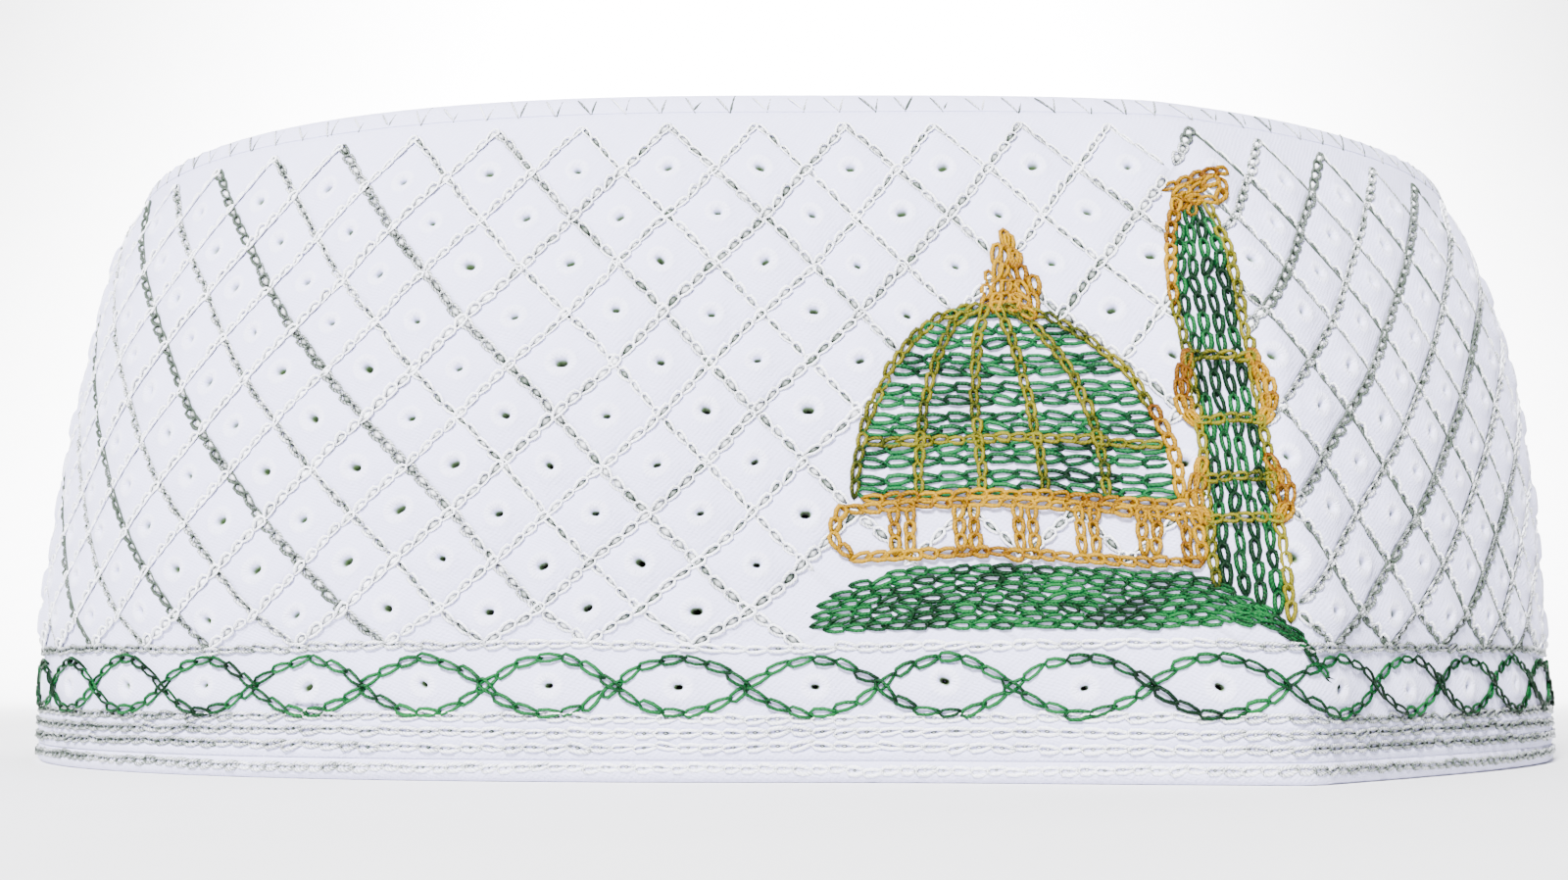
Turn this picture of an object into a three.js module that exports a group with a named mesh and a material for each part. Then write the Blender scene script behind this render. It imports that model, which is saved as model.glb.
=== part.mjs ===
// A white embroidered kufi: a stiff quilted side band with two fold creases, a flat oval crown, a pleated hem
// turned up inside the rim, and the lapped seam that closes the band. The cap rests on its rim, crown up.
// Units are millimetres, +Z is up and the origin is the middle of the rim, on the surface that the cap stands on.
// The long axis of the oval lies along X.
import * as THREE from "three";
import { mergeVertices } from "three/addons/utils/BufferGeometryUtils.js";

// Outer outlines of the cap at the rim and at the crown: superellipses whose radius rises to a corner at each crease.
const RIM = { halfLength: 97.3, halfWidth: 79.6, squareness: 2.46, creaseRise: 10.0 };
const CROWN = { halfLength: 88.2, halfWidth: 69.6, squareness: 2.57, creaseRise: 1.8 };
const CREASE_ANGLE = THREE.MathUtils.degToRad(-60.6); // the front crease; the other one is half a turn away
const CREASE_SPREAD = 0.5; // radians on each side of a crease
const OUTLINE_STEPS = 1440;

// Heights, from the surface that the cap rests on.
const HEIGHT = 71.2; // crown edge
const CROWN_RISE = 1.6; // how far the middle of the crown stands above its edge
const SHOULDER = 3.1; // power of the side's lean: low walls stay upright and the top curves in
const CLOTH = 1.8; // quilted cloth with its stiffener
const GAP = 0.3; // between pieces that are sewn face to face
const HEM_FOLD = 1.8; // thickness of the fold under the band
const HEM_TOP = 9.6;

// Quilting: a lattice of stitched lines with a puffed diamond in each mesh.
const DIAMONDS_ROUND = 58;
const COLUMNS = 2 * DIAMONDS_ROUND; // half diamonds
const SILL = 13; // stitched row that the lattice stands on
const LATTICE_ROWS = 11; // the last one is the tips of the highest diamonds
const LATTICE = { first: 16.2, step: 4.58, growth: 0.05 }; // the diamonds get taller towards the crown
const PUFF = 0.6;

const PLEATS = 132;
const PLEAT_DEPTH = 0.25;

const SEAM_AT = 0.785; // share of the way round, from the front crease, clockwise seen from above
const SEAM = { width: 8, thickness: 0.9, bottom: 10.4, top: 67.8, columns: 4, rows: 12 };

const cottonWhite = new THREE.MeshStandardMaterial({ color: 0xe9e8f2, roughness: 0.85, metalness: 0 });
const hemWhite = new THREE.MeshStandardMaterial({ color: 0xe6e1e8, roughness: 0.9, metalness: 0 });

// The outline's radius at a polar angle.
function outlineRadius(oval, angle) {
  const { halfLength, halfWidth, squareness, creaseRise } = oval;
  const base =
    (Math.abs(Math.cos(angle) / halfLength) ** squareness + Math.abs(Math.sin(angle) / halfWidth) ** squareness) **
    (-1 / squareness);
  // Both creases at once: the outline repeats after half a turn.
  const turn = Math.abs(THREE.MathUtils.euclideanModulo(angle - CREASE_ANGLE + Math.PI / 2, Math.PI) - Math.PI / 2);
  return base + creaseRise * Math.max(0, 1 - turn / CREASE_SPREAD) ** 2;
}

// An outline as a function of the share of the way round it, from the front crease, clockwise seen from above.
function outlineByShare(oval) {
  const points = [];
  const lengths = [0];
  for (let i = 0; i <= OUTLINE_STEPS; i++) {
    const angle = CREASE_ANGLE - (2 * Math.PI * i) / OUTLINE_STEPS;
    const radius = outlineRadius(oval, angle);
    points.push(new THREE.Vector2(radius * Math.cos(angle), radius * Math.sin(angle)));
    if (i > 0) lengths.push(lengths[i - 1] + points[i].distanceTo(points[i - 1]));
  }
  const total = lengths[OUTLINE_STEPS];
  const at = (share) => {
    const wanted = THREE.MathUtils.euclideanModulo(share, 1) * total;
    let next = lengths.findIndex((length) => length > wanted);
    if (next < 1) next = OUTLINE_STEPS;
    const part = (wanted - lengths[next - 1]) / (lengths[next] - lengths[next - 1]);
    return points[next - 1].clone().lerp(points[next], part);
  };
  return { at, total };
}

const rimOutline = outlineByShare(RIM);
const crownOutline = outlineByShare(CROWN);

// The outer face of the side, without its quilting.
function sidePoint(share, height) {
  const lean = THREE.MathUtils.clamp(height / HEIGHT, 0, 1) ** SHOULDER;
  const flat = rimOutline.at(share).lerp(crownOutline.at(share), lean);
  return new THREE.Vector3(flat.x, flat.y, height);
}

// The direction straight out of the side there.
function sideNormal(share, height) {
  const across = 0.002;
  const up = 0.5;
  const along = sidePoint(share - across, height).sub(sidePoint(share + across, height));
  const rise = sidePoint(share, height + up).sub(sidePoint(share, height - up));
  return along.cross(rise).normalize();
}

// A point that lies inset behind the outer face, or in front of it where inset is negative.
function behindSide(share, height, inset) {
  return sidePoint(share, height).addScaledVector(sideNormal(share, height), -inset);
}

// A closed ring round the cap. place(column, row) gives its corners, with the rows in a loop round the section, and
// splitsUp(column, row) says which way a face is split.
function ringGeometry(columns, rows, place, splitsUp) {
  const corners = [];
  for (let column = 0; column < columns; column++) {
    for (let row = 0; row < rows; row++) corners.push(...place(column, row).toArray());
  }
  const index = [];
  const corner = (column, row) => (column % columns) * rows + (row % rows);
  for (let column = 0; column < columns; column++) {
    for (let row = 0; row < rows; row++) {
      const a = corner(column, row);
      const b = corner(column + 1, row);
      const c = corner(column + 1, row + 1);
      const d = corner(column, row + 1);
      if (splitsUp(column, row)) index.push(a, c, b, a, d, c);
      else index.push(a, d, b, b, d, c);
    }
  }
  const geometry = new THREE.BufferGeometry();
  geometry.setAttribute("position", new THREE.Float32BufferAttribute(corners, 3));
  geometry.setIndex(index);
  geometry.computeVertexNormals();
  return geometry;
}

// The quilted band. Its rows go up the outer face, over the top edge, down the inner face and back under.
function sideBandGeometry() {
  const bottom = HEM_FOLD + GAP;
  const top = HEIGHT - CLOTH - GAP;
  const outer = [bottom, SILL];
  for (let k = 0; k < LATTICE_ROWS; k++) outer.push(LATTICE.first + LATTICE.step * k + LATTICE.growth * k * k);
  outer.push(top);
  const inner = [top, 62, 54, 43, 30, SILL, bottom];
  const firstLine = outer.indexOf(SILL);
  const lastLine = firstLine + LATTICE_ROWS;
  // The middle of a diamond lies where the column and the lattice row are both odd or both even.
  const isMiddle = (column, row) => row > firstLine && row < lastLine && (column + row - firstLine) % 2 === 0;
  const place = (column, row) => {
    const share = column / COLUMNS;
    if (row < outer.length) return behindSide(share, outer[row], isMiddle(column, row) ? -PUFF : 0);
    return behindSide(share, inner[row - outer.length], CLOTH);
  };
  // Each face of the lattice is split along its stitched line.
  const splitsUp = (column, row) => (column + row - firstLine) % 2 !== 0;
  return ringGeometry(COLUMNS, outer.length + inner.length, place, splitsUp);
}

// The hem: a fold under the band that is turned up inside it, with pleats on the side that the head touches.
function rimHemGeometry() {
  const inner = CLOTH + GAP;
  const section = [
    { inset: 0.6, height: 0, pleated: 0 },
    { inset: 0, height: 0.7, pleated: 0 },
    { inset: 0, height: HEM_FOLD, pleated: 0 },
    { inset: inner, height: HEM_FOLD, pleated: 0 },
    { inset: inner, height: HEM_TOP, pleated: 0 },
    { inset: inner + 0.9, height: HEM_TOP, pleated: 0.3 },
    { inset: inner + 1.2, height: HEM_TOP - 2.2, pleated: 1 },
    { inset: inner + 1.2, height: 1.2, pleated: 1 },
    { inset: inner + 0.7, height: 0, pleated: 0 },
  ];
  const columns = 2 * PLEATS;
  const place = (column, row) => {
    const { inset, height, pleated } = section[row];
    const fold = column % 2 === 0 ? PLEAT_DEPTH : -PLEAT_DEPTH;
    return behindSide(column / columns, height, inset + pleated * fold);
  };
  return ringGeometry(columns, section.length, place, () => false);
}

// The crown: a disc turned on the lathe, then drawn out to the side's outline at each height.
function crownGeometry() {
  const under = HEIGHT - CLOTH;
  const profile = [
    [0, under + CROWN_RISE],
    [0.5, under + CROWN_RISE * 0.8],
    [0.86, under + CROWN_RISE * 0.25],
    [0.985, under],
    [1, under + 0.5],
    [1, HEIGHT - 0.6],
    [0.985, HEIGHT],
    [0.86, HEIGHT + CROWN_RISE * 0.25],
    [0.5, HEIGHT + CROWN_RISE * 0.8],
    [0, HEIGHT + CROWN_RISE],
  ];
  const turned = new THREE.LatheGeometry(profile.map(([share, height]) => new THREE.Vector2(share, height)), COLUMNS);
  turned.deleteAttribute("normal");
  turned.deleteAttribute("uv");
  const disc = mergeVertices(turned);
  const corners = disc.getAttribute("position");
  for (let i = 0; i < corners.count; i++) {
    const x = corners.getX(i);
    const height = corners.getY(i);
    const z = corners.getZ(i);
    // The lathe turns counterclockwise seen from above, against the count of shares.
    const share = -Math.round((Math.atan2(x, z) / (2 * Math.PI)) * COLUMNS) / COLUMNS;
    const edge = sidePoint(share, height).multiplyScalar(Math.hypot(x, z));
    corners.setXYZ(i, edge.x, edge.y, height);
  }
  disc.computeVertexNormals();
  return disc;
}

// The lapped seam: a narrow strip bent to the inner face of the band.
function sideSeamGeometry() {
  const height = SEAM.top - SEAM.bottom;
  const strip = new THREE.BoxGeometry(SEAM.width, height, SEAM.thickness, SEAM.columns, SEAM.rows, 1);
  const corners = strip.getAttribute("position");
  for (let i = 0; i < corners.count; i++) {
    const share = SEAM_AT + corners.getX(i) / rimOutline.total;
    const inset = CLOTH + GAP + SEAM.thickness / 2 + corners.getZ(i);
    const place = behindSide(share, SEAM.bottom + height / 2 + corners.getY(i), inset);
    corners.setXYZ(i, place.x, place.y, place.z);
  }
  strip.computeVertexNormals();
  return strip;
}

const kufi = new THREE.Group();
const pieces = [
  { name: "side_band", geometry: sideBandGeometry(), material: cottonWhite },
  { name: "crown_top", geometry: crownGeometry(), material: cottonWhite },
  { name: "rim_hem", geometry: rimHemGeometry(), material: hemWhite },
  { name: "side_seam", geometry: sideSeamGeometry(), material: cottonWhite },
];
for (const { name, geometry, material } of pieces) {
  const mesh = new THREE.Mesh(geometry, material);
  mesh.name = name;
  kufi.add(mesh);
}

export default kufi;
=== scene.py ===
"""The looks of a white embroidered kufi: quilted cotton, chain stitches, eyelets and two embroidered figures.

Everything on the side of the cap is laid out flat and then wrapped. Arc is the way round the rim in
millimetres, from the front crease and clockwise seen from above. Height is in millimetres above the surface
that the cap stands on. Out is how far a point stands off the outer face of the side.
"""
import sys
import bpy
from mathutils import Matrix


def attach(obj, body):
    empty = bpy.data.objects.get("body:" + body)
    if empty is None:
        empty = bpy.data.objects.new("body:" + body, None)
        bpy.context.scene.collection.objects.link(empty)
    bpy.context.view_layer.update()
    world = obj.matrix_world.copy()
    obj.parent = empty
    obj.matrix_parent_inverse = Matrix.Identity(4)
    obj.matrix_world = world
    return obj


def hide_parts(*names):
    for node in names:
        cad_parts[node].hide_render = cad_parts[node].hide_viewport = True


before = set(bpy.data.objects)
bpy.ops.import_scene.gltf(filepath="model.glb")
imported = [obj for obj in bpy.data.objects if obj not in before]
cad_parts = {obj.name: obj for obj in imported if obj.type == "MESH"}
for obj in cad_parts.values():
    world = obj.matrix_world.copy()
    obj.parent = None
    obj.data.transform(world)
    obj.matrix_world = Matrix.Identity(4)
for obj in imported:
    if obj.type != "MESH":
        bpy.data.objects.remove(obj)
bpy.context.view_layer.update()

import logging
import math
from dataclasses import dataclass, field
from enum import Enum
from typing import Callable

import bpy
import numpy as np
from mathutils import Vector

LOG = logging.getLogger("kufi")
MM = 0.001
Socket = bpy.types.NodeSocket
Flat = np.ndarray
Colour = tuple[float, float, float]
Place = tuple[float, float, float]
Spot = tuple[float, float]


# The form of the cap

@dataclass(frozen=True)
class Oval:
    """An outline of the cap: a superellipse that rises to a corner at each crease, in millimetres."""

    half_length: float
    half_width: float
    squareness: float
    crease_rise: float


@dataclass(frozen=True)
class Sway:
    """A slow wave of the sewn cloth: its size, its waves round the cap, how it climbs, and its start."""

    size: float
    waves: int
    climb: float
    start: float = 0.0

    def at(self, turn: Flat, height: Flat) -> Flat:
        """The wave at directions round the cap and heights."""
        return self.size * np.sin(self.waves * turn + height / self.climb + self.start)


@dataclass
class CapForm:
    """The outer face of the cap's side, as a map from flat places to space."""

    rim: Oval = Oval(97.3, 79.6, 2.46, 10.0)
    crown: Oval = Oval(88.2, 69.6, 2.57, 1.8)
    crease_angle: float = math.radians(-60.6)
    crease_spread: float = 0.5
    crease_roundness: float = 1.1
    height: float = 71.2
    shoulder: float = 3.1
    steps: int = 2880
    # How the cloth strays along, up and out.
    strays: tuple[tuple[Sway, Sway], ...] = (
        (Sway(0.30, 9, 9), Sway(0.20, 23, -6, 1.7)),
        (Sway(0.24, 11, -8, 0.6), Sway(0.15, 21, 5, 2.9)),
        (Sway(0.42, 5, 14, 0.4), Sway(0.26, 13, -10, 1.1)),
    )
    # It doesn't outside the first and the last of these heights, and does so fully between the middle two.
    calm: tuple[float, ...] = (7.0, 19.0, 54.0, 68.0)
    # How far along and up the face's direction is measured.
    reach: Spot = (0.9, 0.4)

    def __post_init__(self) -> None:
        """Walks round both outlines once."""
        self.rim_line = self._walk(self.rim)
        self.crown_line = self._walk(self.crown)
        self.way_round = float(self.rim_line[3])

    def _walk(self, oval: Oval) -> tuple[Flat, Flat, Flat, float]:
        """Walks round an outline from the front crease.

        Args:
            oval: The outline.

        Returns:
            The share of the way round at each step, x and y there, and the whole length.
        """
        angle = self.crease_angle - np.linspace(0, 2 * math.pi, self.steps + 1)
        power = oval.squareness
        long, wide = np.cos(angle) / oval.half_length, np.sin(angle) / oval.half_width
        turn = np.abs((angle - self.crease_angle + math.pi / 2) % math.pi - math.pi / 2)
        corner = oval.crease_rise * np.clip(1 - turn / self.crease_spread, 0, None) ** 2
        radius = (np.abs(long) ** power + np.abs(wide) ** power) ** (-1 / power) + corner
        x, y = radius * np.cos(angle), radius * np.sin(angle)
        length = np.concatenate([[0], np.cumsum(np.hypot(np.diff(x), np.diff(y)))])
        sigma = self.crease_roundness / (length[-1] / self.steps)
        return length / length[-1], self._rounded(x, sigma), self._rounded(y, sigma), length[-1]

    @staticmethod
    def _rounded(line: Flat, sigma: float) -> Flat:
        """Smooths a closed line with a bell curve.

        Args:
            line: The values, whose last one is the first again.
            sigma: The bell curve's width in steps.

        Returns:
            The smooth values.
        """
        reach = int(4 * sigma) + 1
        bell = np.exp(-0.5 * (np.arange(-reach, reach + 1) / sigma) ** 2)
        ring = line[:-1]
        padded = np.concatenate([ring[-reach:], ring, ring[:reach]])
        smooth = np.convolve(padded, bell / bell.sum(), mode="valid")
        return np.concatenate([smooth, smooth[:1]])

    def lean(self, height: Flat) -> Flat:
        """How far a height has gone over from the rim's outline to the crown's, from 0 to 1."""
        return np.clip(height / self.height, 0, 1) ** self.shoulder

    def narrowing(self, height: Flat) -> Flat:
        """The way round at a height as a share of the way round the rim."""
        return 1 + (self.crown_line[3] / self.rim_line[3] - 1) * self.lean(height)

    def base(self, arc: Flat, height: Flat) -> Flat:
        """Wraps arcs and heights to the outer face.

        Args:
            arc: Arcs in millimetres.
            height: Heights in millimetres.

        Returns:
            Rows of x, y and z in millimetres.
        """
        share, lean = (arc / self.way_round) % 1, self.lean(height)
        lines = (self.rim_line, self.crown_line)
        ends = [[np.interp(share, line[0], line[axis]) for line in lines] for axis in (1, 2)]
        x, y = (rim * (1 - lean) + crown * lean for rim, crown in ends)
        return np.stack([x, y, height + 0 * arc], axis=-1)

    def wobble(self, arc: Flat, height: Flat) -> list[Flat]:
        """The slow unevenness of sewn cloth, which fades out at the hem and at the crown.

        Args:
            arc: Arcs in millimetres.
            height: Heights in millimetres.

        Returns:
            How far the cloth strays along, up and out there, in millimetres.
        """
        turn = arc / self.way_round * 2 * math.pi
        share = np.interp(height, self.calm, (0, 1, 1, 0))
        return [(first.at(turn, height) + second.at(turn, height)) * share for first, second in self.strays]

    def place(self, flat: Flat) -> Flat:
        """Wraps flat places round the cap.

        Args:
            flat: Rows of arc, height and out in millimetres, in any shape that ends in 3.

        Returns:
            Places in metres, in the same shape.
        """
        rows = flat.reshape(-1, 3)
        arc, height, out = (value + stray for value, stray in zip(rows.T, self.wobble(*rows.T[:2])))
        along = self.base(arc - self.reach[0], height) - self.base(arc + self.reach[0], height)
        rise = self.base(arc, height + self.reach[1]) - self.base(arc, height - self.reach[1])
        normal = np.cross(along, rise)
        normal /= np.linalg.norm(normal, axis=1, keepdims=True)
        return ((self.base(arc, height) + normal * out[:, None]) * MM).reshape(flat.shape)


@dataclass
class Quilting:
    """The lattice that is stitched over the side: where its lines, crossings and diamonds lie."""

    form: CapForm
    diamonds: int = 58
    first_arc: float = -3.67
    sill: float = 13.0
    first: float = 16.2
    step: float = 4.58
    growth: float = 0.05
    rows: int = 10
    drift: float = 0.065  # how far the lattice leans towards the crease, from drift_from up
    drift_from: float = 15.0
    ovals: int = 47
    oval_phase: float = 0.18
    wave_height: float = 9.0
    wave_rise: float = 2.55

    def __post_init__(self) -> None:
        """Measures half a diamond at the rim and one oval of the wave band."""
        self.half = self.form.way_round / (2 * self.diamonds)
        self.oval_length = self.form.way_round / self.ovals

    def counted(self, arc: Flat, height: Flat) -> tuple[Flat, Flat]:
        """The column and the row of flat places, counted in half diamonds."""
        rows = np.arange(-1, self.rows + 1)
        row = np.interp(height, self.height(rows), rows)
        return (arc + self.drift * (height - self.drift_from) - self.first_arc) / self.half, row

    def height(self, row: Flat) -> Flat:
        """The height of a lattice row: -1 is the sill, 0 the lowest eyelets and rows the highest tips."""
        row = np.asarray(row, float)
        upper = self.first + self.step * row + self.growth * row * row
        return np.where(row < 0, self.first + (self.first - self.sill) * row, upper)

    def flat(self, column: Flat, row: Flat) -> Flat:
        """Finds places that are counted in half diamonds. Heights between two rows lie on a straight line.

        Args:
            column: Columns from the first arc.
            row: Lattice rows.

        Returns:
            Rows of arc and height.
        """
        column, row = np.broadcast_arrays(column, np.asarray(row, float))
        low = np.floor(row)
        height = self.height(low) * (1 - (row - low)) + self.height(low + 1) * (row - low)
        arc = self.first_arc + column * self.half - self.drift * (height - self.drift_from)
        return np.stack([arc, height], axis=-1)


@dataclass
class Figures:
    """Where the two embroidered figures lie, so that the lattice and the eyelets leave them room."""

    form: CapForm
    base_low: float = 14.6
    base_high: float = 19.6
    base_left: float = 47.0
    dome_foot: float = 26.6
    dome_rise: float = 20.0
    dome_middle: float = 26.3
    dome_half: float = 15.1
    dome_roundness: float = 0.55
    spire_middle: float = 24.2
    spire_top: float = 54.0
    minaret_foot: float = 16.0
    minaret_tip: float = 62.0
    drum_room: tuple[Spot, Spot] = ((8.0, 43.5), (17.0, 28.0))  # the flat cloth in and round the drum

    def __post_init__(self) -> None:
        """Settles the arc of the crease beside each figure."""
        self.origins = (0.0, self.form.way_round / 2)

    def dome_reach(self, height: Flat) -> Flat:
        """Half the dome's width at a height."""
        share = np.clip((height - self.dome_foot) / self.dome_rise, 0, 1)
        return self.dome_half * np.clip(1 - share**2, 0, 1) ** self.dome_roundness

    def minaret_middle(self, height: Flat) -> Flat:
        """The arc of the minaret's middle at a height."""
        return np.interp(height, [14, 21, 30, 40, 49, 58], [4.5, 5.3, 5.8, 5.6, 4.8, 3.0])

    def minaret_reach(self, height: Flat) -> Flat:
        """Half the minaret's width at a height."""
        return np.interp(height, [14, 21, 40, 46, 52, 58], [3.0, 3.2, 3.1, 3.2, 2.8, 1.4])

    def _from_crease(self, arc: Flat) -> list[Flat]:
        """The arcs as seen from each crease, up to half the way round on both sides."""
        way = self.form.way_round
        return [(arc - origin + way / 2) % way - way / 2 for origin in self.origins]

    def covers(self, arc: Flat, height: Flat, margin: float) -> Flat:
        """Tells which flat places a figure covers.

        Args:
            arc: Arcs in millimetres.
            height: Heights in millimetres.
            margin: How far round a figure also counts, in millimetres.

        Returns:
            True where a figure or its margin covers the place.
        """
        hit = np.zeros(np.shape(arc), bool)
        for a in self._from_crease(arc):
            dome = np.abs(a - self.dome_middle) < self.dome_reach(height - margin) + margin
            dome &= (height > self.dome_foot - 1) & (height < self.dome_foot + self.dome_rise + margin)
            base = (a > 1 - margin) & (a < self.base_left + margin) & (height < self.base_high + 0.4 + margin)
            base &= height > self.base_low - 0.4 - margin
            spire = np.interp(height, [44.0, 48.5, 51.0, self.spire_top], [3.0, 1.6, 1.1, 0.6])
            finial = (np.abs(a - self.spire_middle) < spire + margin) & (height > 44)
            finial &= height < self.spire_top + margin
            tower = np.abs(a - self.minaret_middle(height)) < self.minaret_reach(height) + margin
            tower &= (height > self.minaret_foot - 1) & (height < self.minaret_tip + margin)
            hit |= dome | base | finial | tower
        return hit

    def beside_drum(self, arc: Flat, height: Flat) -> Flat:
        """Tells which places lie in the drum or in the gaps round it, where the cloth is flat and whole."""
        (right, left), (low, high) = self.drum_room
        between = [(a > right) & (a < left) for a in self._from_crease(arc)]
        return (between[0] | between[1]) & (height > low) & (height < high)


# Tools for meshes

class Modeller:
    """The modelling operators, each called on one object at a time."""

    @staticmethod
    def leave() -> None:
        """Goes back to object mode."""
        bpy.ops.object.mode_set(mode="OBJECT")

    @staticmethod
    def start() -> None:
        """Leaves edit mode and deselects everything."""
        if bpy.context.object and bpy.context.object.mode != "OBJECT":
            Modeller.leave()
        bpy.ops.object.select_all(action="DESELECT")

    @staticmethod
    def edit(piece: bpy.types.Object) -> None:
        """Opens a piece in edit mode with all of it selected.

        Args:
            piece: The piece.
        """
        Modeller.start()
        bpy.context.view_layer.objects.active = piece
        piece.select_set(True)
        bpy.ops.object.mode_set(mode="EDIT")
        bpy.ops.mesh.select_all(action="SELECT")

    @staticmethod
    def face_outwards(piece: bpy.types.Object) -> None:
        """Turns the faces of a closed piece outwards.

        Args:
            piece: The piece.
        """
        Modeller.edit(piece)
        bpy.ops.mesh.normals_make_consistent(inside=False)
        Modeller.leave()

    @staticmethod
    def places(mesh: bpy.types.Mesh) -> Flat:
        """A mesh's vertices, as rows of x, y and z."""
        places = np.empty(len(mesh.vertices) * 3)
        mesh.vertices.foreach_get("co", places)
        return places.reshape(-1, 3)

    @staticmethod
    def unroll(mesh: bpy.types.Mesh, label: str, values: Flat) -> None:
        """Adds a UV map to a mesh.

        Args:
            mesh: The mesh.
            label: The map's name.
            values: A pair of values for each vertex.
        """
        corners = np.empty(len(mesh.loops), np.int32)
        mesh.loops.foreach_get("vertex_index", corners)
        layer = mesh.uv_layers.new(name=label)
        layer.data.foreach_set("uv", values[corners].astype(np.float32).ravel())

    @staticmethod
    def pattern(shape: Callable[[], object]) -> tuple[Flat, list[tuple[int, ...]]]:
        """Shapes the primitive that was added last, reads it and deletes it.

        Args:
            shape: Shapes the primitive in edit mode.

        Returns:
            Its vertices and its faces.
        """
        piece = bpy.context.object
        Modeller.edit(piece)
        shape()
        Modeller.leave()
        mesh = piece.data
        read = Modeller.places(mesh), [tuple(face.vertices) for face in mesh.polygons]
        bpy.data.objects.remove(piece)
        bpy.data.meshes.remove(mesh)
        return read


def strips(rows: int, around: int, closed: bool = True) -> Flat:
    """The faces of a sleeve of vertices.

    Args:
        rows: How many rings or lines of vertices.
        around: How many vertices in each.
        closed: Whether each row runs back to its start.

    Returns:
        Corner indices, four for each face.
    """
    row, step = np.meshgrid(np.arange(rows - 1), np.arange(around if closed else around - 1), indexing="ij")
    here, beside = row * around + step, row * around + (step + 1) % around
    return np.stack([here, beside, beside + around, here + around], axis=-1).reshape(-1, 4)


@dataclass
class Patchwork:
    """Patches of one piece, collected flat and then joined into one mesh."""

    places: list[Flat] = field(default_factory=list)
    faces: list[Flat] = field(default_factory=list)
    marks: list[Flat] = field(default_factory=list)
    lines: list[Flat] = field(default_factory=list)
    count: int = 0
    unmarked: float = 9.0  # a mark that is far from every eyelet

    def add(self, places: Flat, faces: Flat, marks: Flat | None = None, lines: Flat | None = None) -> None:
        """Adds a patch, or many alike.

        Args:
            places: Flat places, shaped (copies, vertices, 3).
            faces: Corner indices within one copy, shaped (faces, corners).
            marks: Two values a vertex, such as its place about an eyelet, shaped (copies, vertices, 2).
            lines: Each vertex's place across the two families of stitched lines, shaped like the marks.
        """
        copies, size = places.shape[:2]
        starts = self.count + size * np.arange(copies)
        self.places.append(places.reshape(-1, 3))
        self.faces.append((faces[None] + starts[:, None, None]).reshape(-1, faces.shape[1]))
        for kept, values, plain in ((self.marks, marks, self.unmarked), (self.lines, lines, 0.0)):
            kept.append(np.full((copies * size, 2), plain) if values is None else values.reshape(-1, 2))
        self.count += copies * size

    def sheet(self, rows: Flat, turned: bool = False) -> None:
        """Adds one sheet, shaped (rows, columns, 3), whose faces may be turned over."""
        faces = strips(*rows.shape[:2], closed=False)
        self.add(rows.reshape(1, -1, 3), faces[:, ::-1] if turned else faces)

    def join(self, name: str, form: CapForm, weld: bool = True) -> bpy.types.Object:
        """Wraps all patches round the cap and makes one smooth object of them.

        Args:
            name: The piece's name.
            form: The cap's form.
            weld: Whether edges that meet are joined.

        Returns:
            The new object, with a UV map of flat millimetres, one of marks and one of lines.
        """
        flat = np.concatenate(self.places)
        mesh = bpy.data.meshes.new(name)
        mesh.from_pydata(form.place(flat), [], [face for block in self.faces for face in block.tolist()])
        Modeller.unroll(mesh, "cloth", flat[:, :2])
        Modeller.unroll(mesh, "mark", np.concatenate(self.marks))
        Modeller.unroll(mesh, "line", np.concatenate(self.lines))
        mesh.polygons.foreach_set("use_smooth", np.ones(len(mesh.polygons), bool))
        piece = bpy.data.objects.new(name, mesh)
        bpy.context.collection.objects.link(piece)
        if weld:
            Modeller.edit(piece)
            bpy.ops.mesh.remove_doubles(threshold=1e-5)
            Modeller.leave()
        return piece


# Shader groups and finishes

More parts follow.
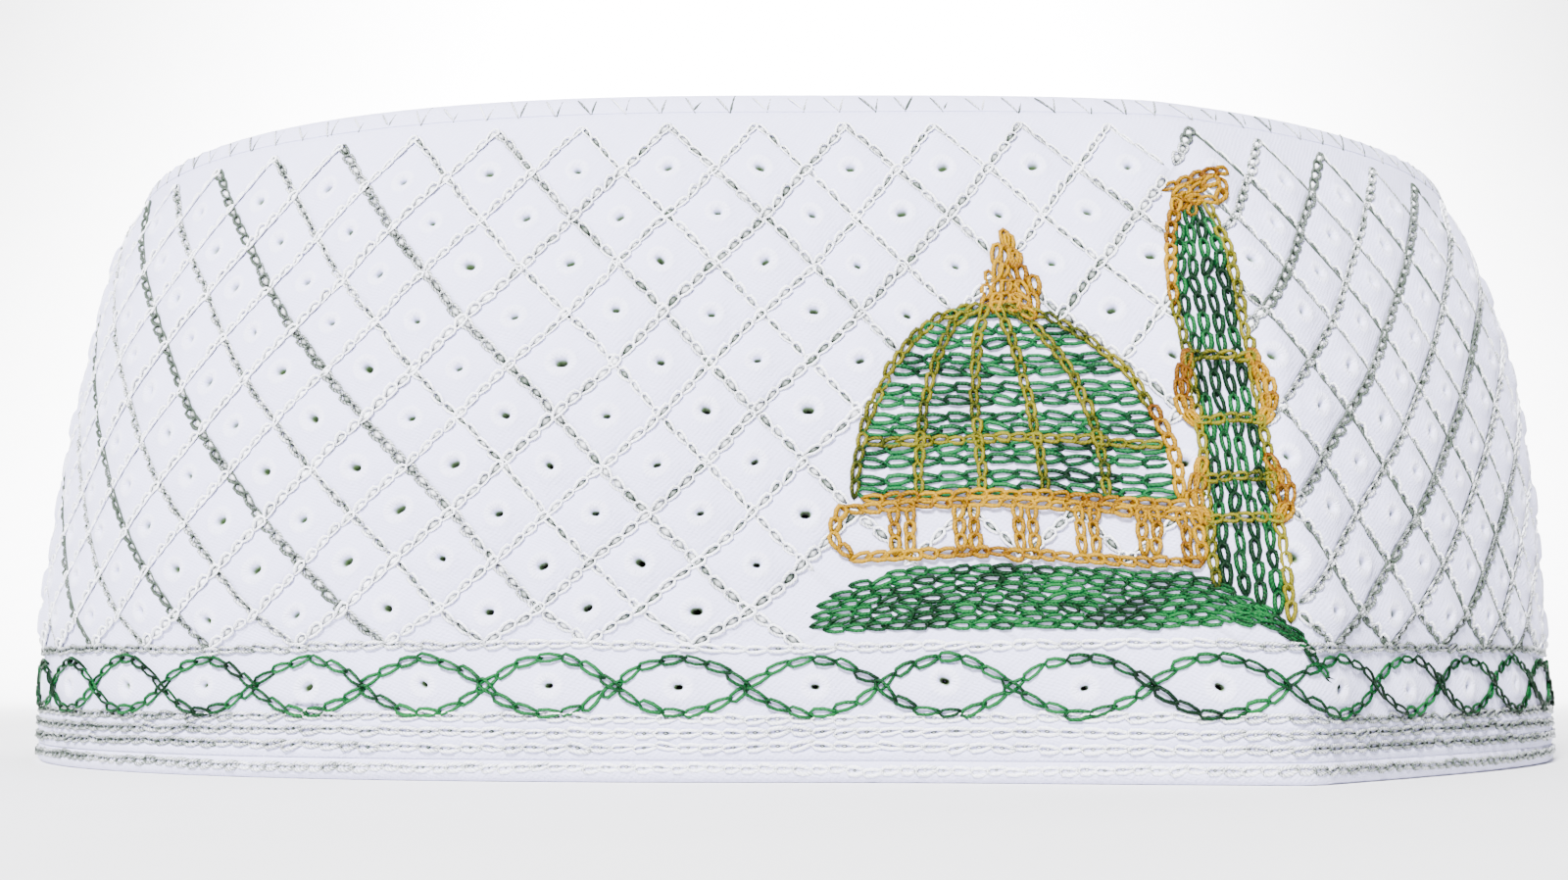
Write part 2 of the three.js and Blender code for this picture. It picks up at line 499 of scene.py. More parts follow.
class Nodes:
    """Adds and joins the nodes of one tree."""

    def __init__(self, tree: bpy.types.NodeTree) -> None:
        """Keeps the tree and empties it."""
        self.tree = tree
        tree.nodes.clear()

    def add(self, kind: str, **settings: object) -> bpy.types.Node:
        """Adds a node.

        Args:
            kind: The node's type.
            settings: Its own options.

        Returns:
            The new node.
        """
        node = self.tree.nodes.new(kind)
        for label, value in settings.items():
            setattr(node, label, value)
        return node

    def feed(self, socket: Socket, value: object) -> None:
        """Links a socket, or sets its value.

        Args:
            socket: The input socket.
            value: An output socket, or a value.
        """
        if isinstance(value, bpy.types.NodeSocket):
            self.tree.links.new(value, socket)
        else:
            socket.default_value = value

    def worked(self, node: bpy.types.Node, values: tuple[object, ...], output: int = 0) -> Socket:
        """Feeds a node's first inputs and gives one of its outputs."""
        for socket, value in zip(node.inputs, values):
            self.feed(socket, value)
        return node.outputs[output]

    def math(self, operation: str, *values: object) -> Socket:
        """A sum of one to three values."""
        return self.worked(self.add("ShaderNodeMath", operation=operation), (*values, 0.0, 0.0)[:3])

    def wave(self, value: object, period: float) -> Socket:
        """A smooth ripple from 0 to 1 with that period."""
        turned = self.math("MULTIPLY", value, 2 * math.pi / period)
        return self.math("MULTIPLY_ADD", self.math("SINE", turned), 0.5, 0.5)

    def ramp(self, value: object, low: float, high: float, start: float = 0.0, end: float = 1.0) -> Socket:
        """A value carried smoothly from one range to another."""
        node = self.add("ShaderNodeMapRange", interpolation_type="SMOOTHSTEP")
        return self.worked(node, (value, low, high, start, end))

    def blend(self, factor: object, first: object, second: object) -> Socket:
        """A mix of two colours, each a socket or its red, green and blue."""
        node = self.add("ShaderNodeMix", data_type="RGBA")
        self.feed(node.inputs[0], factor)
        for socket, colour in ((node.inputs[6], first), (node.inputs[7], second)):
            self.feed(socket, (*colour, 1) if isinstance(colour, tuple) else colour)
        return node.outputs[2]

    def noise(self, vector: Socket, scale: float, detail: float = 2.0) -> Socket:
        """A noise texture's value."""
        node = self.add("ShaderNodeTexNoise")
        for label, value in (("Vector", vector), ("Scale", scale), ("Detail", detail)):
            self.feed(node.inputs[label], value)
        return node.outputs[0]

    def split(self, vector: Socket) -> tuple[Socket, Socket, Socket]:
        """The three parts of a vector."""
        node = self.add("ShaderNodeSeparateXYZ")
        self.feed(node.inputs[0], vector)
        return tuple(node.outputs)

    def uv(self, label: str) -> Socket:
        """The piece's own UV map of that name."""
        return self.add("ShaderNodeUVMap", uv_map=label).outputs[0]

    def group(self, tree: bpy.types.NodeTree, vector: Socket, **values: float) -> dict[str, Socket]:
        """Places a group.

        Args:
            tree: The group's tree.
            vector: What feeds its input Vector.
            values: The values of its other inputs.

        Returns:
            Its outputs by their names.
        """
        node = self.add("ShaderNodeGroup", node_tree=tree)
        for label, value in {"Vector": vector, **values}.items():
            self.feed(node.inputs[label], value)
        return {socket.name: socket for socket in node.outputs}

    def surface(self, colour: Socket, values: dict[str, float], relief: Socket | None = None,
                strength: float = 1.0, depth: float = MM) -> None:
        """Ends a material with its shader.

        Args:
            colour: The base colour.
            values: Values that are the same all over, by the names of the shader's sockets.
            relief: The height that the light follows.
            strength: How strongly it does.
            depth: The depth of a relief of 1, in metres.
        """
        shader = self.add("ShaderNodeBsdfPrincipled")
        self.feed(shader.inputs["Base Color"], colour)
        if relief:
            bump = self.add("ShaderNodeBump")
            for label, value in (("Strength", strength), ("Distance", depth), ("Height", relief)):
                self.feed(bump.inputs[label], value)
            self.feed(shader.inputs["Normal"], bump.outputs[0])
        for label, value in values.items():
            shader.inputs[label].default_value = value
        self.feed(self.add("ShaderNodeOutputMaterial").inputs[0], shader.outputs[0])


def new_material(name: str) -> tuple[bpy.types.Material, Nodes]:
    """Starts a material and gives its nodes."""
    material = bpy.data.materials.new(name)
    material.use_nodes = True
    return material, Nodes(material.node_tree)


def new_group(
    name: str, *outputs: str, pitch: bool = False
) -> tuple[Nodes, bpy.types.Node, dict[str, Socket]]:
    """Starts a shader node group that takes a vector.

    Args:
        name: The group's name.
        outputs: The names of its outputs, all of them values.
        pitch: Whether it also takes a pitch.

    Returns:
        The group's nodes, its input node, and the sockets that its outputs are fed through.
    """
    tree = bpy.data.node_groups.new(name, "ShaderNodeTree")
    tree.interface.new_socket("Vector", in_out="INPUT", socket_type="NodeSocketVector")
    if pitch:
        tree.interface.new_socket("Pitch", in_out="INPUT", socket_type="NodeSocketFloat")
    for label in outputs:
        tree.interface.new_socket(label, in_out="OUTPUT", socket_type="NodeSocketFloat")
    nodes = Nodes(tree)
    taken, given = nodes.add("NodeGroupInput"), nodes.add("NodeGroupOutput")
    return nodes, taken, {label: given.inputs[label] for label in outputs}


class Effects:
    """The shared effects of the cloths and threads, each a node group that is made once."""

    def __init__(self) -> None:
        """Builds every group."""
        self.twill = self._twill()
        self.unevenness = self._unevenness()
        self.eyelet = self._eyelet()
        self.valleys = self._valleys()
        self.plies = self._plies()

    @staticmethod
    def _twill() -> bpy.types.NodeTree:
        """Fine diagonal twill: its relief, and how the yarns differ in tone, with painted shade in the
        grooves.
        """
        nodes, taken, given = new_group("twill", "Height", "Tone", pitch=True)
        vector, pitch = taken.outputs["Vector"], taken.outputs["Pitch"]
        arc, height, _ = nodes.split(vector)
        slub = nodes.math("MULTIPLY", nodes.noise(vector, 0.5), 0.7)
        ribs = nodes.math("DIVIDE", nodes.math("ADD", nodes.math("ADD", arc, height), slub), pitch)
        yarns = nodes.math("SUBTRACT", nodes.math("MULTIPLY", arc, 0.35), height)
        yarns = nodes.math("DIVIDE", nodes.math("ADD", yarns, slub), pitch)
        rib, yarn = nodes.wave(ribs, 1.4), nodes.wave(yarns, 0.8)
        relief = nodes.math("MULTIPLY_ADD", yarn, 0.4, nodes.math("MULTIPLY", rib, 0.6))
        nodes.feed(given["Height"], relief)
        nodes.feed(given["Tone"], nodes.math("MULTIPLY", relief, nodes.noise(vector, 2.2)))
        return nodes.tree

    @staticmethod
    def _unevenness() -> bpy.types.NodeTree:
        """Slow changes of tone and the soft crumples of stiffened cloth."""
        nodes, taken, given = new_group("unevenness", "Tone", "Crumple")
        for label, scale in (("Tone", 0.045), ("Crumple", 0.42)):
            nodes.feed(given[label], nodes.noise(taken.outputs["Vector"], scale, 3.0))
        return nodes.tree

    @staticmethod
    def _eyelet() -> bpy.types.NodeTree:
        """The worked ring of an eyelet: its radial threads, and the painted shade inside it."""
        nodes, taken, given = new_group("eyelet_ring", "Height", "Thread", "Shade")
        stitches = 22
        x, y, _ = nodes.split(taken.outputs["Vector"])
        square = nodes.math("ADD", nodes.math("MULTIPLY", x, x), nodes.math("MULTIPLY", y, y))
        radius = nodes.math("SQRT", square)
        angle = nodes.math("ARCTAN2", y, x)
        ring = nodes.math("MULTIPLY", nodes.ramp(radius, 0.46, 0.66), nodes.ramp(radius, 1.25, 1.5, 1.0, 0.0))
        nodes.feed(given["Height"], nodes.math("MULTIPLY", nodes.wave(angle, 2 * math.pi / stitches), ring))
        nodes.feed(given["Thread"], ring)
        nodes.feed(given["Shade"], nodes.ramp(radius, 0.36, 0.46, 1.0, 0.0))
        return nodes.tree

    @staticmethod
    def _valleys() -> bpy.types.NodeTree:
        """The painted shade in the valleys that the stitched lines pull into the cloth."""
        nodes, taken, given = new_group("stitched_valleys", "Bold", "Fine")
        first, second, _ = nodes.split(taken.outputs["Vector"])

        def near(value: Socket, middle: float, width: float) -> Socket:
            """A mask that is 1 on every second line and falls off on both sides."""
            turned = nodes.math("FLOORED_MODULO", nodes.math("SUBTRACT", value, middle - 1), 2.0)
            away = nodes.math("ABSOLUTE", nodes.math("SUBTRACT", turned, 1.0))
            return nodes.ramp(away, 0.3 * width, width, 1.0, 0.0)

        for label, middle, width in (("Bold", 1.5, 0.115), ("Fine", 0.5, 0.09)):
            both = nodes.math("MAXIMUM", near(first, middle, width), near(second, middle, width))
            nodes.feed(given[label], both)
        return nodes.tree

    @staticmethod
    def _plies() -> bpy.types.NodeTree:
        """The twist of a plied thread, along U and round V."""
        nodes, taken, given = new_group("plied_thread", "Height", "Tone")
        along, around, _ = nodes.split(taken.outputs["Vector"])
        twist = nodes.math("MULTIPLY_ADD", along, 2.4, nodes.math("MULTIPLY", around, 2.0))
        nodes.feed(given["Height"], nodes.wave(twist, 1.0))
        nodes.feed(given["Tone"], nodes.noise(taken.outputs["Vector"], 1.3))
        return nodes.tree


@dataclass(frozen=True)
class ClothFinish:
    """A white cotton cloth with its weave, unevenness and eyelets."""

    name: str
    # The cloth goes from its shade colour to its light one with the twill's painted shade in the grooves and
    # with slow random unevenness.
    light: Colour = (0.64, 0.64, 0.90)
    shade: Colour = (0.55, 0.55, 0.76)
    pitch: float = 0.42
    weave_depth: float = 0.035
    crumple_depth: float = 0.16
    pierced: bool = False
    # The painted shade along the bold and the fine stitched lines, and how strongly each is painted.
    valley_shade: Colour = (0.20, 0.21, 0.22)
    bold_share: float = 0.28
    fine_share: float = 0.14
    ring: Colour = (0.86, 0.86, 0.97)
    ring_share: float = 0.4
    ring_depth: float = 0.03
    # The painted shade inside each eyelet's hole.
    inside: Colour = (0.13, 0.21, 0.085)

    def make(self, effects: Effects) -> bpy.types.Material:
        """Makes the material.

        Args:
            effects: The shared effects.

        Returns:
            The new material, which reads the piece's UV map cloth, and mark and line where it is pierced.
        """
        material, nodes = new_material(self.name)
        cloth = nodes.uv("cloth")
        twill = nodes.group(effects.twill, cloth, Pitch=self.pitch)
        uneven = nodes.group(effects.unevenness, cloth)
        # Painted shade in the twill's grooves, with the slow random unevenness.
        tone = nodes.math("MULTIPLY_ADD", twill["Tone"], 0.55, 0.45)
        tone = nodes.math("MULTIPLY", tone, nodes.ramp(uneven["Tone"], 0.25, 0.75, 0.85, 1.0))
        colour = nodes.blend(tone, self.shade, self.light)
        relief = nodes.math("MULTIPLY", twill["Height"], self.weave_depth)
        relief = nodes.math("MULTIPLY_ADD", uneven["Crumple"], self.crumple_depth, relief)
        if self.pierced:
            # Painted shade along the stitched lines.
            valleys = nodes.group(effects.valleys, nodes.uv("line"))
            shade = nodes.math("MULTIPLY", valleys["Bold"], self.bold_share)
            shade = nodes.math("MAXIMUM", shade, nodes.math("MULTIPLY", valleys["Fine"], self.fine_share))
            colour = nodes.blend(shade, colour, self.valley_shade)
            # The eyelet's worked ring, and the painted shade inside its hole.
            eyelet = nodes.group(effects.eyelet, nodes.uv("mark"))
            thread = nodes.math("MULTIPLY", eyelet["Thread"], self.ring_share)
            colour = nodes.blend(eyelet["Shade"], nodes.blend(thread, colour, self.ring), self.inside)
            relief = nodes.math("MULTIPLY_ADD", eyelet["Height"], self.ring_depth, relief)
        nodes.surface(colour, {"Roughness": 0.86, "Specular IOR Level": 0.25, "Sheen Weight": 0.12}, relief)
        return material


@dataclass(frozen=True)
class ThreadFinish:
    """A plied embroidery thread that goes from a deep tone to a light one, which also serve as its painted
    shade and painted sheen.
    """

    name: str
    deep: Colour
    light: Colour
    roughness: float = 0.42
    gloss: float = 0.10
    # How much darker the grooves of the twist are painted, as shade.
    ply_groove_shade: float = 0.35
    ply_depth: float = 0.06 * MM
    ply_strength: float = 0.7

    def make(self, effects: Effects) -> bpy.types.Material:
        """Makes the material.

        Args:
            effects: The shared effects.

        Returns:
            The new material, which reads the UV map mark and the attribute tone.
        """
        material, nodes = new_material(self.name)
        plies = nodes.group(effects.plies, nodes.uv("mark"))
        stitch = nodes.add("ShaderNodeAttribute", attribute_name="tone").outputs["Fac"]
        # Painted shade in the grooves of the twist, with a tone that varies at random along the thread.
        tone = nodes.math("MULTIPLY_ADD", plies["Height"], self.ply_groove_shade, stitch)
        tone = nodes.math("MULTIPLY_ADD", plies["Tone"], 0.4, nodes.math("SUBTRACT", tone, self.ply_groove_shade))
        colour = nodes.blend(nodes.ramp(tone, 0.0, 1.0), self.deep, self.light)
        values = {"Roughness": self.roughness, "Specular IOR Level": self.gloss}
        nodes.surface(colour, values, plies["Height"], self.ply_strength, self.ply_depth)
        return material


class Thread(Enum):
    """The threads that the cap is worked with."""

    # The white thread's deep tone, a dull green-grey, is the painted shade of white thread.
    WHITE = ThreadFinish("white_thread", (0.050, 0.068, 0.052), (0.93, 0.94, 1.0), roughness=0.45)
    GREEN = ThreadFinish("green_thread", (0.0006, 0.011, 0.0030), (0.0045, 0.100, 0.022))
    PALE_GREEN = ThreadFinish("pale_green_thread", (0.0006, 0.010, 0.0035), (0.0060, 0.110, 0.030))
    GOLD = ThreadFinish("gold_thread", (0.085, 0.026, 0.0), (0.300, 0.162, 0.0))
    OLIVE = ThreadFinish("olive_thread", (0.012, 0.022, 0.001), (0.150, 0.130, 0.006))
    TRAVEL = ThreadFinish("travelling_thread", (0.0015, 0.020, 0.007), (0.008, 0.070, 0.024))

    def make(self, effects: Effects, name: str | None = None) -> bpy.types.Material:
        """Makes the thread's material, under a name of its own where one is given."""
        material = self.value.make(effects)
        material.name = name or material.name
        return material


# The stitches

@dataclass(frozen=True)
class Link:
    """One chain stitch, in millimetres. Its dip is a blob inside the loop, painted as the shaded cloth there.
    """

    length: float = 2.0
    width: float = 1.15
    thread: float = 0.34
    pitch: float = 1.8
    lift: float = 0.16
    dip: Spot | None = None
    # How strongly the painted shade at the joins and the painted light on the sides are given.
    joins: float = 1.0
    bends: int = 8
    sides: int = 4
    dip_rise: float = 0.26
    squeeze: float = 0.34  # how much the loop narrows towards its start

    def hollow(self) -> tuple[Flat, Flat, Flat, Flat]:
        """Models the dip inside a loop, a low blob with four corners painted as shade, in the same four parts
        as pattern.
        """
        Modeller.start()
        bpy.ops.mesh.primitive_cone_add(vertices=4, radius1=1.0, radius2=0.0, depth=1.0)
        places, faces = Modeller.pattern(bpy.ops.mesh.quads_convert_to_tris)
        size = [self.dip[0] / 2, self.dip[1] / 2, self.dip_rise]
        shape = places * size + [0.08 * self.length, 0, self.dip_rise / 2]
        # The blob is painted shade, darker at its foot than at its top.
        return shape, np.array(faces), np.zeros((len(places), 2)), np.where(places[:, 2] < 0, -0.35, 0.1)

    def pattern(self) -> tuple[Flat, Flat, Flat, Flat]:
        """Models one stitch: a ring that is drawn out to a drop and arched over the cloth.

        Returns:
            Its vertices (along, across, out), its faces, two marks a vertex (along and round the thread), and
            how much darker or lighter each vertex is painted: shade where the tight loops join, light on
            their sides.
        """
        Modeller.start()
        bpy.ops.mesh.primitive_torus_add(
            major_segments=self.bends, minor_segments=self.sides, major_radius=1.0, minor_radius=0.25
        )
        size, middle = (1.0, 1.0, 2 * self.thread), (0, 0, 0)
        places, faces = Modeller.pattern(lambda: bpy.ops.transform.resize(value=size, center_override=middle))
        x, y, z = places.T
        turn, swell = np.arctan2(y, x), (np.hypot(x, y) - 1.0) * 2 * self.thread
        bow, swing = np.cos(turn), np.sin(turn)
        long, wide = self.length / 2, self.width / 2
        slope = np.stack([bow * wide, swing * long], axis=-1)
        slope /= np.linalg.norm(slope, axis=1, keepdims=True)
        along = long * bow + slope[:, 0] * swell
        across = wide * swing * (1 - self.squeeze + self.squeeze * bow) + slope[:, 1] * swell
        out = z + self.thread * 0.2 + self.lift * (1 - bow**2) + 0.10 * bow
        marks = np.stack([np.abs(turn) * self.length / 2, np.arctan2(z, swell) / (2 * math.pi)], axis=-1)
        # Painted shade where the loops join, and a little painted light along their sides.
        shades = 0.14 - 0.55 * np.clip(-bow, 0, 1) ** 2 - 0.40 * np.clip(bow, 0, 1) ** 4
        return np.stack([along, across, out], axis=-1), np.array(faces), marks, shades * self.joins


@dataclass(frozen=True)
class Dash:
    """One plain stitch that lies flat, in millimetres."""

    length: float = 1.3
    width: float = 0.34
    pitch: float = 2.0
    thickness: float = 0.22
    cuts: tuple[float, ...] = (-0.25, 0.25)

    def _cut(self) -> None:
        """Cuts the thread across, so that it can bend."""
        for cut in self.cuts:
            bpy.ops.mesh.select_all(action="SELECT")
            bpy.ops.mesh.bisect(plane_co=(cut, 0, 0), plane_no=(1, 0, 0))

    def pattern(self) -> tuple[Flat, Flat, Flat, Flat]:
        """Models one stitch: a short thread with its ends going into the cloth.

        Returns:
            Its vertices, faces, marks and tones, as for a chain stitch.
        """
        Modeller.start()
        bpy.ops.mesh.primitive_cylinder_add(vertices=4, radius=0.5, depth=1.0, rotation=(0, math.pi / 2, 0))
        bpy.ops.object.transform_apply(rotation=True)
        places, faces = Modeller.pattern(self._cut)
        x, y, z = places.T
        end = np.abs(x) > 0.4
        along, across = x * self.length, y * self.width * np.where(end, 0.5, 1.0)
        out = z * self.thickness + np.where(end, -0.12, 0.05)
        marks = np.stack([along, np.arctan2(z, y) / (2 * math.pi)], axis=-1)
        quads = np.array([face for face in faces if len(face) == 4])
        # The ends, where the thread goes into the cloth, are painted darker, as shade.
        return np.stack([along, across, out], axis=-1), quads, marks, np.where(end, -0.3, 0.0)


@dataclass
class Run:
    """One line of stitches: its flat path, its rise, its tones and how loosely it is worked.

    The skew paints the side of each stitch that lies left of its direction lighter, as sheen, and the other
    one darker, as shade.
    """

    path: Flat
    rise: float | Flat = 0.0
    tone: Callable[[Flat], Flat] | float = 0.5
    dip: Callable[[Flat], Flat] | float = 0.0
    loose: float = 1.0
    skew: Callable[[Flat], Flat] | float = 0.0


@dataclass
class Stitcher:
    """Works stitches along runs and joins them into one piece."""

    form: CapForm
    relief: Callable[[Flat, Flat], Flat]
    seed: int = 7
    wander: float = 0.06
    turn: float = 0.10
    uneven: float = 0.07
    heave: float = 0.10
    tones: Spot = (-0.6, 1.4)

    def __post_init__(self) -> None:
        """Seeds the small irregularities."""
        self.random = np.random.default_rng(self.seed)

    def _spots(self, run: Run, pitch: float) -> tuple[Flat, ...]:
        """Spreads stitches evenly along a run.

        Args:
            run: The line of stitches.
            pitch: The wanted distance between stitches in millimetres.

        Returns:
            The flat place of each stitch, its direction in local millimetres, its rise, its share of the
            pitch, the tones of its thread and of its dip, its skew, and how loose it is.
        """
        path = np.asarray(run.path, float)
        steps = np.diff(path, axis=0)
        steps[:, 0] *= self.form.narrowing((path[1:, 1] + path[:-1, 1]) / 2)
        length = np.concatenate([[0], np.cumsum(np.hypot(*steps.T))])
        count = max(1, round(length[-1] / pitch))
        at = (np.arange(count) + 0.5) * length[-1] / count
        reach = 0.4 * pitch

        def look(place: Flat) -> Flat:
            """The path at a distance along it."""
            return np.stack([np.interp(place, length, axis) for axis in path.T], axis=-1)

        spot = look(at)
        ahead = look(np.minimum(at + reach, length[-1])) - look(np.maximum(at - reach, 0))
        ahead[:, 0] *= self.form.narrowing(spot[:, 1])
        ahead /= np.linalg.norm(ahead, axis=1, keepdims=True)
        rise = np.interp(at, length, np.broadcast_to(run.rise, length.shape))
        looks = (run.tone, run.dip, run.skew)
        looks = [value(spot[:, 0]) if callable(value) else np.full(count, value) for value in looks]
        share, loose = np.full(count, length[-1] / count / pitch), np.full(count, run.loose)
        return spot, ahead, rise, share, *looks, loose

    def work(
        self,
        name: str,
        runs: list[Run],
        stitch: Link | Dash,
        inside: float | None = None,
        spread: float = 0.3,
    ) -> bpy.types.Object:
        """Makes one piece of stitches.

        Args:
            name: The piece's name.
            runs: The lines of stitches.
            stitch: The stitch's shape.
            inside: Where the stitches lie on the inner face, its place behind the outer one. None is outside.
            spread: How far the tones of the stitches differ.

        Returns:
            The new object.
        """
        spots, aheads, rises, shares, tones, dips, skews, loose = (
            np.concatenate(part) for part in zip(*(self._spots(run, stitch.pitch) for run in runs))
        )
        count, random = len(spots), self.random
        spin = random.normal(0, self.turn, count) * loose
        (x, y), cosine, sine = aheads.T, np.cos(spin), np.sin(spin)
        aheads = np.stack([x * cosine - y * sine, x * sine + y * cosine], axis=-1)
        sides = np.stack([-aheads[:, 1], aheads[:, 0]], axis=-1)
        scale = 1 + random.normal(0, self.uneven, (count, 2))
        slip = random.normal(0, self.wander, (count, 1)) * loose[:, None]
        lift = random.uniform(-0.5, 0.5, count) * self.heave * loose
        shift = random.uniform(0, 40, (count, 1, 1)) * np.array([1.0, 0.0])
        patches = np.sin(spots[:, 0] * 0.31 + 2.0 * np.sin(spots[:, 1] * 0.37)) * 0.5 * spread
        tones = np.clip(tones + random.uniform(-spread, spread, count) + patches, *self.tones)
        parts = [(stitch.pattern(), tones)]
        if isinstance(stitch, Link) and stitch.dip:
            parts.append((stitch.hollow(), dips + random.uniform(-0.5, 0.5, count) * spread))
        patch, values, narrow = Patchwork(), [], self.form.narrowing(spots[:, 1])[:, None]
        for (shape, faces, marks, shades), tone in parts:
            along = shape[None, :, 0] * (scale[:, :1] * shares[:, None])
            across = shape[None, :, 1] * scale[:, 1:] + slip
            offset = along[..., None] * aheads[:, None] + across[..., None] * sides[:, None]
            arc, height = spots[:, None, 0] + offset[..., 0] / narrow, spots[:, None, 1] + offset[..., 1]
            out = shape[None, :, 2] + (rises + lift)[:, None]
            out = out + self.relief(arc, height) if inside is None else -inside - out
            patch.add(np.stack([arc, height, out], axis=-1), faces, marks[None] + shift)
            # Each vertex's tone: the stitch's tone, the painted shade at its joins, and the skew's painted
            # sheen and shade.
            beside = skews[:, None] * np.clip(3 * shape[None, :, 1], -1, 1)
            values.append((tone[:, None] + shades[None] + beside).ravel())
        piece = patch.join(name, self.form, weld=False)
        layer = piece.data.attributes.new("tone", "FLOAT", "POINT")
        layer.data.foreach_set("value", np.concatenate(values).astype(np.float32))
        Modeller.face_outwards(piece)
        return piece


def dress(piece: bpy.types.Object, material: bpy.types.Material, slot: str = "band_cotton") -> None:
    """Gives a piece its one material and its body, and reports it.

    Args:
        piece: The piece.
        material: Its material.
        slot: Not used.
    """
    piece.data.materials.clear()
    piece.data.materials.append(material)
    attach(piece, "root")
    LOG.info("%s: %d triangles", piece.name, sum(len(face.vertices) - 2 for face in piece.data.polygons))


# The cloth pieces

@dataclass
class QuiltedBand:
    """The side of the cap: puffed diamonds with pierced eyelets, over a plain inner face."""

    form: CapForm
    quilting: Quilting
    figures: Figures
    thickness: float = 1.8
    bottom: float = 2.05
    top: float = 69.1
    puff: float = 0.60
    hole: float = 0.45
    ring: float = 0.34
    flat_lift: float = 0.08
    ribs: tuple[float, ...] = (3.3, 4.7, 6.05)
    rib_lift: float = 0.22
    wave_half: float = 2.4
    around: int = 16
    seed: int = 3

    def __post_init__(self) -> None:
        """Settles how high each diamond puffs, and which ones a figure covers."""
        self.random = np.random.default_rng(self.seed)
        quilt = self.quilting
        rows, diamonds = np.meshgrid(np.arange(quilt.rows), np.arange(quilt.diamonds), indexing="ij")
        arcs, heights = np.moveaxis(quilt.flat(2 * diamonds + rows % 2, rows), -1, 0)
        self.covered = self.figures.covers(arcs, heights, 0.3) | self.figures.beside_drum(arcs, heights)
        lifts = self.puff * self.random.uniform(0.8, 1.2, rows.shape)
        self.lifts = np.where(self.covered, self.flat_lift, lifts)

    def relief(self, arc: Flat, height: Flat) -> Flat:
        """Finds how far the cloth stands off the plain side.

        Args:
            arc: Arcs in millimetres.
            height: Heights in millimetres.

        Returns:
            The places out, in millimetres.
        """
        quilt = self.quilting
        column, row = quilt.counted(arc, height)
        up, down = (column + row) / 2, (column - row) / 2
        near_up, near_down = np.round(up), np.round(down)
        share = 2 * np.maximum(np.abs(up - near_up), np.abs(down - near_down))
        middle_row = (near_up - near_down).astype(int)
        middle_column = (near_up + near_down).astype(int)
        index = np.clip(middle_row, 0, quilt.rows - 1)
        lift = self.lifts[index, (middle_column - index % 2) // 2 % quilt.diamonds]
        lift = np.where(middle_row == index, lift, 0)
        puff = np.interp(share, [0.0, 0.45, 0.86, 1.0], [1.0, 0.95, 0.52, 0.0]) * lift
        return np.where(height > quilt.sill, puff, self.rib(height))

    def rib(self, height: Flat) -> Flat:
        """The soft ribs between the straight rows below the wave band."""
        lows = np.array([self.bottom, *self.ribs])
        heights = np.sort(np.concatenate([lows, (lows[1:] + lows[:-1]) / 2]))
        return np.interp(height, heights, [0.0, self.rib_lift] * len(self.ribs) + [0.0])

    def _tiles(
        self, middles: Flat, half: float, reach: Spot, lift: Flat, square: bool = False, pierced: bool = True
    ) -> tuple[Flat, Flat, Flat]:
        """Shapes the tiles that lie round eyelets.

        Args:
            middles: Flat places of the tiles' middles.
            half: Half a tile's width.
            reach: How far a tile reaches up and down.
            lift: How high each tile puffs.
            square: Whether the tile is a rectangle and not a diamond.
            pierced: Whether the eyelets are open.

        Returns:
            The vertices of all tiles, the faces of one, and the marks.
        """
        diamond, rectangle = [(1, 0), (0, 1), (-1, 0), (0, -1)], [(1, -1), (1, 1), (-1, 1), (-1, -1)]
        corners = np.array(rectangle if square else diamond)
        sides = (np.roll(corners, -1, axis=0) - corners)[:, None]
        edge = (corners[:, None] + sides * (np.arange(4) / 4)[:, None]).reshape(-1, 2)
        tile = np.stack([edge[:, 0] * half, edge[:, 1] * np.where(edge[:, 1] > 0, *reach)], axis=-1)
        turn = np.arange(self.around) * math.pi / 8 - (math.pi / 4 if square else 0)
        circle = np.stack([np.cos(turn), np.sin(turn)], axis=-1)
        count, lift = len(middles), lift[:, None]
        hole = self.hole * self.random.uniform(0.7, 1.2, (count, 1))
        slit = self.random.normal(0, 0.35, (count, 1))
        crest = lift + self.ring * self.random.uniform(0.7, 1.2, (count, 1))
        nudge = self.random.normal(0, 0.16, (count, 1, 2))
        back = 0 * lift - self.thickness
        # Each row: share of the way to the edge, radius of the ring, height above the outer face,
        # slenderness, and the radius that the finish takes for the row, where it isn't the true one,
        # so that the painted shade fills the hole up to its lip.
        whole = [(0.0, 0.05, back, 0.0, None), (0.0, 0.05, lift, 0.0, None)]
        eyelet = [
            (0.0, hole * 0.2, back, 0.1, 0.10),
            (0.0, hole, lift * 0.9 - 0.05, 0.26, 0.45),
            (0.0, hole + 0.42, crest, 0.15, 0.87),
            (0.0, hole + 0.95, crest - 0.05, 0.05, 1.40),
            (0.10, hole + 1.30, lift * 0.95, 0.0, 1.75),
        ]
        rows = [
            (1.0, 0.0, back, 0.0, None),
            (0.55, 1.2, back - 0.12, 0.0, None),
            *(eyelet if pierced else whole),
            (0.55, 1.2, lift * 0.95, 0.0, None),
            (0.86, 0.6, lift * 0.52, 0.0, None),
            (1.0, 0.0, 0 * lift, 0.0, None),
        ]
        layers, looks = [], []
        for share, radius, out, slender, seen in rows:
            wide = radius * (1 + slender * np.cos(2 * (turn[None] - slit)))
            spread = tile * share + (circle[None] * wide[..., None] + nudge) * (1 - share)
            level = np.broadcast_to(out[:, :, None], (count, self.around, 1))
            layers.append(np.concatenate([spread, level], axis=-1))
            looks.append(spread - nudge if seen is None else np.broadcast_to(circle * seen, spread.shape))
        places = np.stack(layers, axis=1).reshape(count, -1, 3)
        marks = np.stack(looks, axis=1).reshape(count, -1, 2)
        if not pierced:
            marks = np.full(marks.shape, Patchwork.unmarked)
